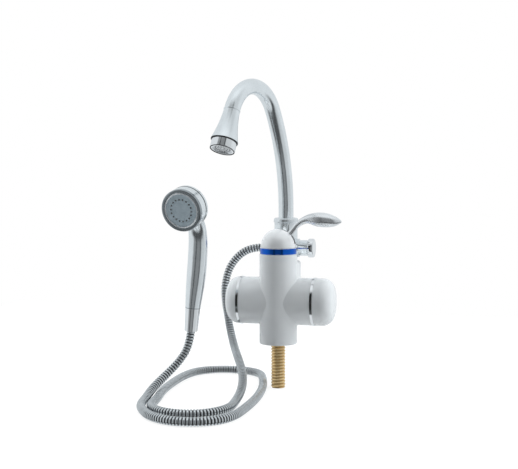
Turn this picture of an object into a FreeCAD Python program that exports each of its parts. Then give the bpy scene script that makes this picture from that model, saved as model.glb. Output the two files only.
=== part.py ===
"""Instant hot water tap: a heated column with a cross barrel, a swan neck spout, a lever and a hand shower.

The frame's origin is the centre of the column's underside, where the tap stands on the sink deck.
+Z is up, +X runs along the heater barrel to the diverter knob's side and -Y faces the user.
"""
import FreeCAD, Part
import math
import os
import Sketcher

doc = FreeCAD.newDocument("InstantHotWaterTap")
sheet = doc.addObject("Spreadsheet::Sheet", "Sizes")
Vector = FreeCAD.Vector
ALONG_X = FreeCAD.Rotation(Vector(0, 1, 0), 90)
ALONG_MINUS_X = FreeCAD.Rotation(Vector(0, 1, 0), -90)
ALONG_Y = FreeCAD.Rotation(Vector(1, 0, 0), -90)
UPRIGHT = FreeCAD.Rotation()


class Size:
    """A size in millimetres or degrees, with the text that binds it to the sheet."""

    def __init__(self, value, text):
        self.value = value
        self.text = text

    def __add__(self, other):
        other = as_size(other)
        return Size(self.value + other.value, "(%s + %s)" % (self.text, other.text))

    def __sub__(self, other):
        other = as_size(other)
        return Size(self.value - other.value, "(%s - %s)" % (self.text, other.text))

    def __mul__(self, other):
        other = as_size(other)
        return Size(self.value * other.value, "(%s * %s)" % (self.text, other.text))

    def __truediv__(self, other):
        other = as_size(other)
        return Size(self.value / other.value, "(%s / %s)" % (self.text, other.text))

    def __neg__(self):
        return Size(-self.value, "(-%s)" % self.text)


def as_size(number):
    """Wrap a plain number as a size."""
    return number if isinstance(number, Size) else Size(float(number), repr(float(number)))


# Fits shared by every piece
seat_gap = 0.3  # room between pieces that stand close
running_gap = 0.05  # radial room of a shaft in its hole
wall = 3  # moulded wall

# White body: column, heater barrel and rear boss
column_radius = 27  # column radius
column_height = 128.5  # deck to the light ring
column_bore = 22.5  # column's inner radius
foot_round = 1.5  # rounding of the column's foot
waist_round = 2  # rounding where the column meets the barrel
barrel_radius = 34  # heater barrel radius
barrel_room = 1.5  # barrel's bore to the floor under the valve
column_proud = 3  # column stands out in front of the barrel
barrel_left = 54.1  # column axis to the barrel's left end
barrel_right = 49.8  # column axis to the barrel's right end
boss_radius = 22  # rear boss radius
boss_back = 50  # spout axis behind the column axis
gland_room = 2  # gland flange to the rear boss above it
boss_drop = 13.5  # light ring down to the boss top
boss_round = 4  # rounding of the boss's top edge
shelf_thickness = 4  # floor under the valve cartridge
water_way = 3.5  # radius of the drilled water ways

# End caps and trim rings
trim_width = 3.6  # trim ring width
trim_proud = 0.7  # trim ring stands proud of the barrel
left_cap_length = 20.3  # left cap beyond its ring
right_cap_length = 28.1  # right cap beyond its ring
cap_edge = 17  # cap edge radius
cap_crown = 1.5  # crown of the cap's end
spigot_length = 5  # cap spigot inside the barrel

# Shank and inner water pipes
thread_radius = 10.48  # G1/2 thread's outer radius
shank_length = 64  # shank below the deck face
shank_bore = 7  # shank bore radius
shank_neck = 12.5  # shank's locating neck radius in the column's floor
shank_flange = 16  # shank flange radius
flange_thickness = 4  # shank flange thickness
lead_chamfer = 1  # chamfer at the thread's start
pipe_radius = 5  # inner pipe radius
pipe_foot_radius = 12  # inlet pipe's foot radius
pipe_foot_thickness = 2  # inlet pipe's foot thickness
pipe_reach = 8  # pipe end inside the tank

# Heater
tank_radius = 26  # heater tank radius
tank_wall = 1.5  # heater tank wall
tank_left = 37  # column axis to the left end of the tank
tank_right = 33  # column axis to the tank's open end
cover_thickness = 3  # tank cover thickness
element_radius = 3.5  # heating rod radius
element_half_pitch = 12  # half the distance between the rod's legs
element_back = 12  # rod plane behind the tank axis
element_reach = 44  # rod's straight legs inside the tank
terminal_length = 4  # rod ends outside the tank cover
cutout_radius = 8  # thermal cut-out radius
cutout_flange = 1.5  # thermal cut-out's flange thickness
cutout_height = 5.5  # thermal cut-out height
board_thickness = 1.6  # control board thickness
board_gap = 1.6  # cap spigot to the control board
switch_depth = 6  # flow switch depth along the barrel
switch_width = 16  # flow switch width
switch_height = 12  # flow switch height
plunger_radius = 2  # flow switch plunger radius
plunger_length = 1  # flow switch plunger length
gland_radius = 8  # cable gland flange radius
gland_neck = 4.5  # cable gland neck radius
gland_bore = 3  # cable gland bore radius
gland_flange = 2.5  # cable gland flange thickness
gland_length = 12  # cable gland outside the body
gland_pad = 2  # flat pad behind the barrel for the gland

# Light ring, valve cartridge, dome and lever
ring_height = 9.7  # light ring height
ring_radius = 26.5  # light ring radius
ring_bore = 22  # light ring's inner radius
cartridge_radius = 17  # valve cartridge radius
cartridge_height = 30  # valve cartridge height
cartridge_floor = 8  # solid foot of the cartridge
nut_height = 7  # cartridge nut height
nut_standing = 2  # part of the nut inside the column
nut_bore = 9  # cartridge nut bore radius
stem_radius = 6  # cartridge stem radius
stem_top = 3.6  # stem top above the dome's rim
dome_radius = 25.3  # dome radius
dome_rim = 1  # straight rim of the dome
dome_wall = 2.5  # dome wall
hub_radius = 13  # hub inside the dome
pivot_out = 9  # lever pivot from the column axis
pivot_up = 9.6  # lever pivot above the dome's rim
pin_radius = 2  # lever pin radius
pin_half_length = 8.5  # half the lever pin's length
eye_radius = 4.5  # lever eye radius
neck_radius = 3.7  # lever neck radius
paddle_width = 24  # lever paddle width
paddle_thickness = 20.6  # lever paddle thickness
lever_reach = 82  # lever pivot to the paddle's tip
lever_rise = 31.1  # lever pivot to the paddle's crest
tip_drop = 3.6  # paddle's crest to its tip

# Diverter tee, knob and hose outlet
tee_radius = 17  # tee radius
tee_height = 53  # tee height above the boss
tee_spigot_radius = 10  # tee spigot in the boss
tee_spigot_length = 20  # tee spigot length
cross_rise = 19  # boss top up to the diverter and hose outlet axis
cross_flange = 13.5  # diverter flange radius
cross_flange_end = 20  # spout axis to the flange's face
sleeve_radius = 11.5  # diverter sleeve radius
sleeve_end = 33.4  # spout axis to the sleeve's end
knob_radius = 13.8  # diverter knob radius
knob_width = 9  # diverter knob width
knob_round = 2  # diverter knob's edge radius
knob_socket = 4  # stem's depth in the knob
spool_radius = 4  # diverter stem radius
spool_start = 8  # spout axis to the diverter stem's inner end
nipple_radius = 7.5  # hose nipple radius
nipple_length = 24  # spout axis to the nipple's end
hose_nut_radius = 10  # hose nut radius
hose_nut_face = 2  # hose nut's end wall

# Spout
collar_height = 10  # spout collar height
bead_radius = 18  # spout collar's bead radius
collar_step = 3  # plain part of the collar
collar_crown = 14.5  # collar's top rim radius
spout_radius = 11  # spout tube radius
spout_bore = 7  # spout bore radius
spout_spigot = 8.9  # spout spigot in the tee
spigot_depth = 20  # spout spigot length
spout_straight = 22  # upright part of the spout
sway_radius = 288  # gentle lower bend of the spout
sway_angle = 30.3  # turn of the lower bend
arch_radius = 59  # spout arch radius
arch_angle = 125.6  # turn of the arch
spout_heading = 18  # spout turned from the front to the left
seal_groove = 1.5  # seal groove depth
seal_height = 2.4  # seal height
nozzle_length = 45.7  # flared nozzle length
nozzle_radius = 19  # nozzle's mouth radius
nozzle_sweep = 190  # radius of the nozzle's hollow flare
aerator_radius = 17.3  # aerator radius
aerator_length = 13  # aerator outside the nozzle
aerator_thread = 6  # aerator inside the nozzle
aerator_bore = 13.5  # aerator mouth radius
screen_thickness = 2  # aerator screen thickness
screen_inset = 2  # aerator screen behind the mouth
screen_hole = 1.2  # aerator screen hole radius

# Hose and hand shower
hose_radius = 6  # hose outer radius
hose_root = 5.3  # hose radius between ribs
hose_bore = 4  # hose bore radius
rib_count = 100  # ribs modelled along the hose
ferrule_length = 32  # hose ferrule length
ferrule_small = 9.2  # ferrule radius at the hose
ferrule_large = 10.5  # ferrule radius at the handset
handset_nipple = 6  # handset nipple radius
handset_tilt = 5  # handset leans to the right
handset_turn = -7.5  # handset faces a little to the left
grip_width = 27  # grip width
grip_depth = 24  # grip depth
grip_length = 135.9  # ferrule to the grip's end inside the head
grip_lean = 38  # grip's end in front of its axis
head_radius = 28.9  # shower head radius
head_depth = 30  # shower head shell depth
head_side = 18  # straight side of the head shell
head_nod = 14  # head faces downwards
head_forward = 30  # head's back in front of the grip's axis
head_height = 177.9  # head's back above the hose end
bezel_width = 3.8  # bezel ring width
bezel_height = 5  # bezel ring height
bezel_round = 1.5  # bezel edge radius
plate_inset = 1  # spray plate behind the bezel's face
plate_thickness = 6  # spray plate thickness
spray_circle = 15  # radius of the circle of spray holes
spray_hole = 0.9  # spray hole radius
spray_count = 18  # spray holes in the circle


def into_sheet(plain):
    """Put every named size into the sheet and hand each back bound to its cell."""
    bound = {}
    for row, (alias, number) in enumerate(plain.items(), 1):
        sheet.set("A%d" % row, alias.replace("_", " "))
        sheet.set("B%d" % row, str(number))
        sheet.setAlias("B%d" % row, alias)
        bound[alias] = Size(float(number), "Sizes." + alias)
    sheet.recompute()
    return bound


globals().update(into_sheet({name: number for name, number in globals().items() if isinstance(number, (int, float))}))

# Heights and lengths that several pieces share
barrel_back = barrel_radius - column_radius + column_proud
shelf_top = column_height - cartridge_height - nut_standing
barrel_bore = barrel_radius - wall
barrel_height = shelf_top - shelf_thickness - barrel_room - barrel_bore
boss_foot = barrel_height + gland_radius + gland_room
boss_top = column_height - boss_drop
cross_height = boss_top + cross_rise
ring_top = column_height + ring_height
dome_foot = ring_top + seat_gap
tee_top = boss_top + tee_height
shank_seat = wall + flange_thickness
trim_radius = barrel_radius + trim_proud
cap_spigot = barrel_bore - seat_gap
pivot_height = dome_foot + pivot_up
nut_end = nipple_length + hose_nut_face
knob_start = sleeve_end + seat_gap
handset_seat = ferrule_length + seat_gap
port_height = shelf_top + cartridge_floor + water_way


def bind(item, **sizes):
    """Set properties of an object and bind each to the sheet."""
    for name, amount in sizes.items():
        amount = as_size(amount)
        setattr(item, name, amount.value)
        item.setExpression(name, amount.text)


def place(item, at, turn=UPRIGHT):
    """Put an object at a point whose coordinates are sizes, or at a placement worked out beforehand."""
    if isinstance(at, FreeCAD.Placement):
        item.Placement = at
        return item
    spot = [as_size(amount) for amount in at]
    item.Placement = FreeCAD.Placement(Vector(*[amount.value for amount in spot]), turn)
    for axis, amount in zip("xyz", spot):
        item.setExpression("Placement.Base." + axis, amount.text)
    return item


def cylinder(name, radius, height, at, turn=UPRIGHT):
    """A cylinder that starts at a point and runs along the turned Z axis."""
    item = doc.addObject("Part::Cylinder", name)
    bind(item, Radius=radius, Height=height)
    return place(item, at, turn)


def block(name, length, width, height, at):
    """A box whose lowest corner is at a point."""
    item = doc.addObject("Part::Box", name)
    bind(item, Length=length, Width=width, Height=height)
    return place(item, at)


def fuse(label, pieces):
    """Join overlapping pieces of one moulding or casting."""
    item = doc.addObject("Part::MultiFuse", label)
    item.Shapes = pieces
    return item


def cut(label, base, tools):
    """Take the tools away from the base."""
    item = doc.addObject("Part::Cut", label)
    item.Base = base
    item.Tool = tools[0] if len(tools) == 1 else fuse(label + "_hollows", tools)
    return item


def arc_edge(start, end, radius):
    """Arc from start to end: a positive radius bulges to the right of the way, a negative one to the left."""
    chord = end - start
    reach = abs(radius)
    side = Vector(-chord.y, chord.x, 0).normalize() * math.copysign(1, radius)
    centre = (start + end) * 0.5 + side * math.sqrt(max(reach ** 2 - (chord.Length / 2) ** 2, 0))
    ends = [start, end] if radius > 0 else [end, start]
    angles = [math.atan2(spot.y - centre.y, spot.x - centre.x) for spot in ends]
    circle = Part.Circle(centre, Vector(0, 0, 1), reach)
    return Part.ArcOfCircle(circle, angles[0], angles[1])


def pin_coordinate(sketch, kind, edge, corner, amount):
    """Hold one coordinate of a sketch point at a size, or on the axis where it is nought."""
    if amount.value == 0:
        axis = -2 if kind == "DistanceX" else -1
        sketch.addConstraint(Sketcher.Constraint("PointOnObject", edge, corner, axis))
        return
    index = sketch.addConstraint(Sketcher.Constraint(kind, -1, 1, edge, corner, amount.value))
    sketch.setExpression("Constraints[%d]" % index, amount.text)


def turned(label, outline, at, turn=UPRIGHT):
    """A turned piece. The outline runs anticlockwise through (radius, height) corners.

    A third entry is the radius of the arc that arrives at the corner, negative where it is hollow.
    """
    body = doc.addObject("PartDesign::Body", label)
    sketch = body.newObject("Sketcher::SketchObject", label + "_profile")
    plane = [item for item in body.Origin.OriginFeatures if item.Role == "XZ_Plane"][0]
    sketch.AttachmentSupport = [(plane, "")]
    sketch.MapMode = "FlatFace"
    corners = [[as_size(amount) for amount in corner] for corner in outline]
    spots = [Vector(corner[0].value, corner[1].value, 0) for corner in corners]
    count = len(corners)
    starts = {}
    finishes = {}
    for index in range(count):
        after = (index + 1) % count
        bulge = corners[after][2] if len(corners[after]) > 2 else None
        if bulge is None:
            edge = sketch.addGeometry(Part.LineSegment(spots[index], spots[after]))
        else:
            edge = sketch.addGeometry(arc_edge(spots[index], spots[after], bulge.value))
            radius = sketch.addConstraint(Sketcher.Constraint("Radius", edge, abs(bulge.value)))
            size = bulge if bulge.value > 0 else -bulge
            sketch.setExpression("Constraints[%d]" % radius, size.text)
        flipped = bulge is not None and bulge.value < 0
        starts[index] = (edge, 2 if flipped else 1)
        finishes[after] = (edge, 1 if flipped else 2)
    for index, corner in enumerate(corners):
        sketch.addConstraint(Sketcher.Constraint("Coincident", *finishes[index], *starts[index]))
        pin_coordinate(sketch, "DistanceX", *starts[index], corner[0])
        pin_coordinate(sketch, "DistanceY", *starts[index], corner[1])
    solid = body.newObject("PartDesign::Revolution", label + "_turned")
    solid.Profile = sketch
    solid.ReferenceAxis = (sketch, ["V_Axis"])
    solid.Angle = 360
    sketch.Visibility = False
    return place(body, at, turn)


def own_shape(label, shape, placement=None):
    """A piece whose shape comes from lofts or pipes worked out below."""
    item = doc.addObject("Part::Feature", label)
    item.Shape = shape
    if placement is not None:
        item.Placement = placement
    return item


def rounded(label, base, radius, chosen):
    """Round the edges of a piece that the test picks out."""
    doc.recompute()
    item = doc.addObject("Part::Fillet", label)
    item.Base = base
    picked = [number for number, edge in enumerate(base.Shape.Edges, 1) if chosen(edge)]
    item.Edges = [(number, radius.value, radius.value) for number in picked]
    return item


def tap_housing():
    """White moulding: column, barrel and rear boss, hollow for the heater and bored for the valve."""
    column = cylinder("column", column_radius, column_height, (0, 0, 0))
    barrel = cylinder("barrel", barrel_radius, barrel_left + barrel_right,
                      (-barrel_left, barrel_back, barrel_height), ALONG_X)
    boss = cylinder("rear_boss", boss_radius, boss_top - boss_foot, (0, boss_back, boss_foot))
    bridge = block("boss_bridge", boss_radius * 2, boss_back, boss_top - boss_foot, (-boss_radius, 0, boss_foot))
    pad = cylinder("gland_seat", gland_radius + 1, barrel_radius + gland_pad,
                   (0, barrel_back, barrel_height), ALONG_Y)
    waist = rounded("housing_waist", fuse("housing_cross", [column, barrel]), waist_round,
                    lambda edge: edge.Curve.TypeId == "Part::GeomBSplineCurve")
    outside = fuse("housing_outside", [waist, boss, bridge, pad])
    foot = rounded("housing_foot", outside, foot_round,
                   lambda edge: edge.BoundBox.ZMax < 0.01)
    shoulder = rounded("housing_shoulder", foot, boss_round,
                       lambda edge: abs(edge.BoundBox.ZMin - boss_top.value) < 0.01
                       and abs(edge.BoundBox.ZMax - boss_top.value) < 0.01
                       and edge.BoundBox.YMax > column_radius.value)
    barrel_hollow = cylinder("barrel_hollow", barrel_bore, barrel_left + barrel_right,
                             (-barrel_left, barrel_back, barrel_height), ALONG_X)
    column_hollow = cylinder("column_hollow", column_bore, shelf_top - shelf_thickness - wall, (0, 0, wall))
    socket = cylinder("cartridge_socket", cartridge_radius + seat_gap, column_height - shelf_top, (0, 0, shelf_top))
    riser = cylinder("riser_hole", pipe_radius + seat_gap, shelf_thickness * 3,
                     (0, 0, shelf_top - shelf_thickness * 2))
    shank_hole = cylinder("shank_hole", shank_neck + seat_gap, wall * 2, (0, 0, -wall))
    tee_socket = cylinder("tee_socket", tee_spigot_radius + running_gap, tee_spigot_length,
                          (0, boss_back, boss_top - tee_spigot_length))
    link = cylinder("valve_to_tee", water_way, boss_back, (0, 0, port_height), ALONG_Y)
    gland_hole = cylinder("gland_hole", gland_neck + seat_gap, barrel_radius + gland_pad,
                          (0, barrel_back, barrel_height), ALONG_Y)
    hollows = [barrel_hollow, column_hollow, socket, riser, shank_hole, tee_socket, link, gland_hole]
    return cut("tap_housing", shoulder, hollows)


def end_cap(label, length, at, turn):
    """White cup with a round edge and a crowned end, its spigot in the barrel."""
    shoulder = spigot_length + trim_width
    flat = shoulder + length - cap_crown
    face = barrel_radius - cap_edge
    inner = cap_spigot - wall
    crown = (face * face + cap_crown * cap_crown) / (cap_crown * 2)
    outline = [(inner, 0), (cap_spigot, 0), (cap_spigot, shoulder), (barrel_radius, shoulder),
               (barrel_radius, flat - cap_edge), (face, flat, cap_edge), (0, flat + cap_crown, crown),
               (0, flat - wall), (face, flat - wall), (inner, flat - cap_edge)]
    return turned(label, outline, at, turn)


def trim_ring(label, at, turn):
    """Bright ring between the barrel and its cap."""
    outline = [(barrel_bore, 0), (trim_radius, 0), (trim_radius, trim_width), (barrel_bore, trim_width)]
    return turned(label, outline, at, turn)


def barrel_ends():
    """Caps and trim rings at both ends of the heater barrel."""
    axis = (barrel_back, barrel_height)
    trim_ring("left_trim_ring", (-barrel_left, *axis), ALONG_MINUS_X)
    trim_ring("right_trim_ring", (barrel_right, *axis), ALONG_X)
    end_cap("left_end_cap", left_cap_length, (spigot_length - barrel_left, *axis), ALONG_MINUS_X)
    end_cap("right_end_cap", right_cap_length, (barrel_right - spigot_length, *axis), ALONG_X)


def threaded_shank():
    """Brass inlet stud that goes through the sink deck."""
    seat = shank_length + wall
    outline = [(shank_bore, 0), (thread_radius - lead_chamfer, 0), (thread_radius, lead_chamfer),
               (thread_radius, shank_length), (shank_neck, shank_length), (shank_neck, seat), (shank_flange, seat),
               (shank_flange, seat + flange_thickness), (shank_bore, seat + flange_thickness)]
    turned("threaded_shank", outline, (0, 0, -shank_length))


def water_pipes():
    """Pipes from the shank into the tank and from the tank up to the valve."""
    tank_side = barrel_height - tank_radius
    top = tank_side + pipe_reach
    outline = [(water_way, 0), (pipe_foot_radius, 0), (pipe_foot_radius, pipe_foot_thickness),
               (pipe_radius, pipe_foot_thickness), (pipe_radius, top - shank_seat), (water_way, top - shank_seat)]
    turned("inlet_tube", outline, (0, 0, shank_seat))
    start = barrel_height + tank_radius - pipe_reach
    outline = [(water_way, 0), (pipe_radius, 0), (pipe_radius, shelf_top - start), (water_way, shelf_top - start)]
    turned("outlet_tube", outline, (0, 0, start))


def heater():
    """Steel tank with its cover, the hairpin heating rod, the cut-out, the flow switch and the board."""
    axis = (barrel_back, barrel_height)
    inside = tank_radius - tank_wall
    shell = cylinder("tank_shell", tank_radius, tank_left + tank_right, (-tank_left, *axis), ALONG_X)
    hollow = cylinder("tank_hollow", inside, tank_left + tank_right, (tank_wall - tank_left, *axis), ALONG_X)
    pipe_holes = cylinder("tank_pipe_holes", pipe_radius + seat_gap, tank_radius * 2,
                          (0, 0, barrel_height - tank_radius))
    cut("heater_tank", shell, [hollow, pipe_holes])
    rod_back = barrel_back + element_back
    upper = barrel_height + element_half_pitch
    lower = barrel_height - element_half_pitch
    disc = cylinder("cover_disc", tank_radius, cover_thickness, (tank_right, *axis), ALONG_X)
    holes = [cylinder("cover_hole_%d" % number, element_radius + running_gap, cover_thickness * 2,
                      (tank_right - cover_thickness * 0.5, rod_back, height), ALONG_X)
             for number, height in enumerate((upper, lower))]
    cut("tank_cover", disc, holes)
    outer = tank_right + cover_thickness
    legs = outer + terminal_length
    bend = tank_right - element_reach
    first = Part.LineSegment(Vector(legs.value, rod_back.value, upper.value),
                             Vector(bend.value, rod_back.value, upper.value))
    turn = Part.Arc(Vector(bend.value, rod_back.value, upper.value),
                    Vector(bend.value - element_half_pitch.value, rod_back.value, barrel_height.value),
                    Vector(bend.value, rod_back.value, lower.value))
    last = Part.LineSegment(Vector(bend.value, rod_back.value, lower.value),
                            Vector(legs.value, rod_back.value, lower.value))
    path = Part.Wire([first.toShape(), turn.toShape(), last.toShape()])
    ring = Part.Wire(Part.Circle(first.StartPoint, Vector(1, 0, 0), element_radius.value).toShape())
    own_shape("heating_element", path.makePipeShell([ring], True, False))
    outline = [(0, 0), (cutout_radius + cutout_flange, 0), (cutout_radius + cutout_flange, cutout_flange),
               (cutout_radius, cutout_flange), (cutout_radius, cutout_height), (0, cutout_height)]
    turned("thermal_cutout", outline, (outer, *axis), ALONG_X)
    board_start = spigot_length + board_gap - barrel_left
    cylinder("control_board", barrel_bore - seat_gap, board_thickness, (board_start, *axis), ALONG_X)
    face = board_start + board_thickness
    case = block("switch_case", switch_depth, switch_width, switch_height,
                 (face, barrel_back - switch_width / 2, barrel_height - switch_height / 2))
    plunger = cylinder("switch_plunger", plunger_radius, switch_depth + plunger_length, (face, *axis), ALONG_X)
    fuse("flow_switch", [case, plunger])


def cable_gland():
    """Rubber bush behind the barrel for the supply cable."""
    seat = barrel_radius + gland_pad
    deep = wall + gland_pad
    outline = [(gland_bore, 0), (gland_neck, 0), (gland_neck, deep), (gland_radius, deep),
               (gland_radius, deep + gland_flange), (gland_neck + 1, deep + gland_flange),
               (gland_neck, deep + gland_length), (gland_bore, deep + gland_length)]
    turned("cable_gland", outline, (0, barrel_back + seat - deep, barrel_height), ALONG_Y)


def valve():
    """Light ring, ceramic cartridge, its nut and its stem in the head of the column."""
    outline = [(ring_bore, 0), (ring_radius, 0), (ring_radius, ring_height), (ring_bore, ring_height)]
    turned("light_ring", outline, (0, 0, column_height))
    bore = stem_radius + running_gap
    outline = [(0, 0), (cartridge_radius, 0), (cartridge_radius, cartridge_height), (bore, cartridge_height),
               (bore, cartridge_floor), (0, cartridge_floor)]
    blank = turned("cartridge_blank", outline, (0, 0, shelf_top))
    inlet = cylinder("cartridge_inlet", water_way, cartridge_floor + water_way, (0, 0, shelf_top))
    port = cylinder("cartridge_port", water_way, cartridge_radius * 2, (0, 0, port_height), ALONG_Y)
    cut("cartridge_body", blank, [inlet, port])
    outline = [(nut_bore, 0), (cartridge_radius, 0), (cartridge_radius, nut_height), (nut_bore, nut_height)]
    turned("cartridge_nut", outline, (0, 0, shelf_top + cartridge_height))
    start = port_height + water_way
    length = dome_foot + stem_top - start
    turned("cartridge_stem", [(0, 0), (stem_radius, 0), (stem_radius, length), (0, length)], (0, 0, start))


def dome_cap():
    """Domed cover on the stem, slotted for the lever and drilled for its pin."""
    inner = dome_radius - dome_wall
    top = dome_rim + dome_radius
    bore = stem_radius + running_gap
    hub_top = Size(dome_rim.value + math.sqrt(inner.value ** 2 - hub_radius.value ** 2),
                   "(%s + sqrt(%s ^ 2 - %s ^ 2))" % (dome_rim.text, inner.text, hub_radius.text))
    outline = [(inner, 0), (dome_radius, 0), (dome_radius, dome_rim), (0, top, dome_radius), (0, stem_top),
               (bore, stem_top), (bore, seat_gap), (hub_radius, seat_gap), (hub_radius, hub_top),
               (inner, dome_rim, -inner)]
    shell = turned("dome_shell", outline, (0, 0, dome_foot))
    slot_half = neck_radius + running_gap * 10
    slot = block("lever_slot", dome_radius * 2, slot_half * 2, top,
                 (pivot_out - eye_radius - running_gap * 10, -slot_half, pivot_height - eye_radius - running_gap * 10))
    hole = cylinder("pin_hole", pin_radius + running_gap, pin_half_length * 2,
                    (pivot_out, -pin_half_length, pivot_height), ALONG_Y)
    cut("dome_cap", shell, [slot, hole])
    cylinder("lever_pin", pin_radius, pin_half_length * 2, (pivot_out, -pin_half_length, pivot_height), ALONG_Y)


def oval(centre, along, across, half_width, half_thickness):
    """Closed oval wire square to a direction, its width along the given axis."""
    along = Vector(along).normalize()
    rise = along.cross(across).normalize()
    turn = FreeCAD.Rotation(Vector(across), rise, along, "ZXY")
    if half_width >= half_thickness:
        flat = Part.Ellipse(Vector(), half_width, half_thickness) if half_width > half_thickness else None
    else:
        flat = Part.Ellipse(Vector(), half_thickness, half_width)
        turn = turn.multiply(FreeCAD.Rotation(Vector(0, 0, 1), 90))
    edge = (flat or Part.Circle(Vector(), Vector(0, 0, 1), half_width)).toShape()
    edge.Placement = FreeCAD.Placement(Vector(centre), turn)
    return Part.Wire(edge)


def lever_handle():
    """Bright lever: an eye on the pin, a slim rising neck and a drop-shaped paddle."""
    reach = lever_reach.value
    rise = lever_rise.value
    drop = tip_drop.value
    neck = neck_radius.value
    wide = paddle_width.value / 2
    thick = paddle_thickness.value / 2
    # share of the reach, height above the pivot, heading above level in degrees, half width, half thickness
    stations = [(0.02, rise * 0.07, 52, neck, neck), (0.08, rise * 0.28, 52, neck, neck),
                (0.16, rise * 0.52, 51, neck, neck), (0.23, rise * 0.73, 46, wide * 0.38, thick * 0.40),
                (0.33, rise * 0.91, 30, wide * 0.50, thick * 0.48), (0.43, rise, 10, wide * 0.68, thick * 0.65),
                (0.54, rise - drop * 0.03, -2, wide * 0.90, thick * 0.90),
                (0.68, rise - drop * 0.28, -5, wide, thick), (0.83, rise - drop * 0.67, -7, wide * 0.84, thick * 0.83),
                (0.93, rise - drop * 0.89, -7, wide * 0.54, thick * 0.52),
                (1.00, rise - drop, -7, wide * 0.16, thick * 0.15)]
    wires = []
    for share, height, heading, half_width, half_thickness in stations:
        angle = math.radians(heading)
        centre = Vector(pivot_out.value + reach * share, 0, pivot_height.value + height)
        along = Vector(math.cos(angle), 0, math.sin(angle))
        wires.append(oval(centre, along, Vector(0, 1, 0), half_width, half_thickness))
    blade = Part.makeLoft(wires, True, False)
    pivot = Vector(pivot_out.value, -neck, pivot_height.value)
    eye = Part.makeCylinder(eye_radius.value, neck * 2, pivot, Vector(0, 1, 0))
    hole = Part.makeCylinder(pin_radius.value + running_gap.value, neck * 2, pivot, Vector(0, 1, 0))
    own_shape("lever_handle", blade.fuse(eye).cut(hole).removeSplitter())


def diverter():
    """Bright tee behind the dome with the diverter knob on the right and the hose nut on the left."""
    height = tee_height + tee_spigot_length
    axis = (boss_back, cross_height)
    foot = boss_top - tee_spigot_length
    spout_seat = spigot_depth + seat_gap
    post = turned("tee_post", [(0, 0), (tee_spigot_radius, 0), (tee_spigot_radius, tee_spigot_length),
                               (tee_radius, tee_spigot_length), (tee_radius, height), (0, height)],
                  (0, boss_back, foot))
    flange = cylinder("tee_flange", cross_flange, cross_flange_end, (0, *axis), ALONG_X)
    sleeve = cylinder("tee_sleeve", sleeve_radius, sleeve_end, (0, *axis), ALONG_X)
    nipple = cylinder("tee_nipple", nipple_radius, nipple_length, (0, *axis), ALONG_MINUS_X)
    spout_bore_hole = cylinder("tee_spout_bore", spout_spigot + running_gap, spout_seat,
                               (0, boss_back, tee_top - spout_seat))
    riser = cylinder("tee_riser", water_way, tee_top - foot, (0, boss_back, foot))
    spool_hole = cylinder("tee_spool_hole", spool_radius + running_gap, sleeve_end, (0, *axis), ALONG_X)
    hose_way = cylinder("tee_hose_way", hose_bore, nipple_length, (0, *axis), ALONG_MINUS_X)
    inlet = cylinder("tee_inlet", water_way, boss_back, (0, 0, port_height), ALONG_Y)
    cut("diverter_tee", fuse("tee_outside", [post, flange, sleeve, nipple]),
        [spout_bore_hole, riser, spool_hole, hose_way, inlet])
    socket = spool_radius + running_gap
    outline = [(socket, 0), (knob_radius - knob_round, 0), (knob_radius, knob_round, knob_round),
               (knob_radius, knob_width - knob_round), (knob_radius - knob_round, knob_width, knob_round),
               (0, knob_width), (0, knob_socket), (socket, knob_socket)]
    turned("diverter_knob", outline, (knob_start, *axis), ALONG_X)
    length = knob_start + knob_socket - spool_start
    turned("diverter_stem", [(0, 0), (spool_radius, 0), (spool_radius, length), (0, length)],
           (spool_start, *axis), ALONG_X)
    inner = nipple_radius + seat_gap
    start = tee_radius + seat_gap
    deep = nipple_length - start
    outline = [(inner, 0), (hose_nut_radius, 0), (hose_nut_radius, deep + hose_nut_face),
               (hose_bore, deep + hose_nut_face), (hose_bore, deep), (inner, deep)]
    turned("hose_nut", outline, (-start, *axis), ALONG_MINUS_X)


def hole_in_ring(name, radius, depth, away, share):
    """One hole of a ring of holes round the Z axis, at a share of the full turn."""
    angle = 2 * math.pi * share
    spot = Vector(away * math.cos(angle), away * math.sin(angle), 0)
    return cylinder(name, radius, depth, FreeCAD.Placement(spot, UPRIGHT))


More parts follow.
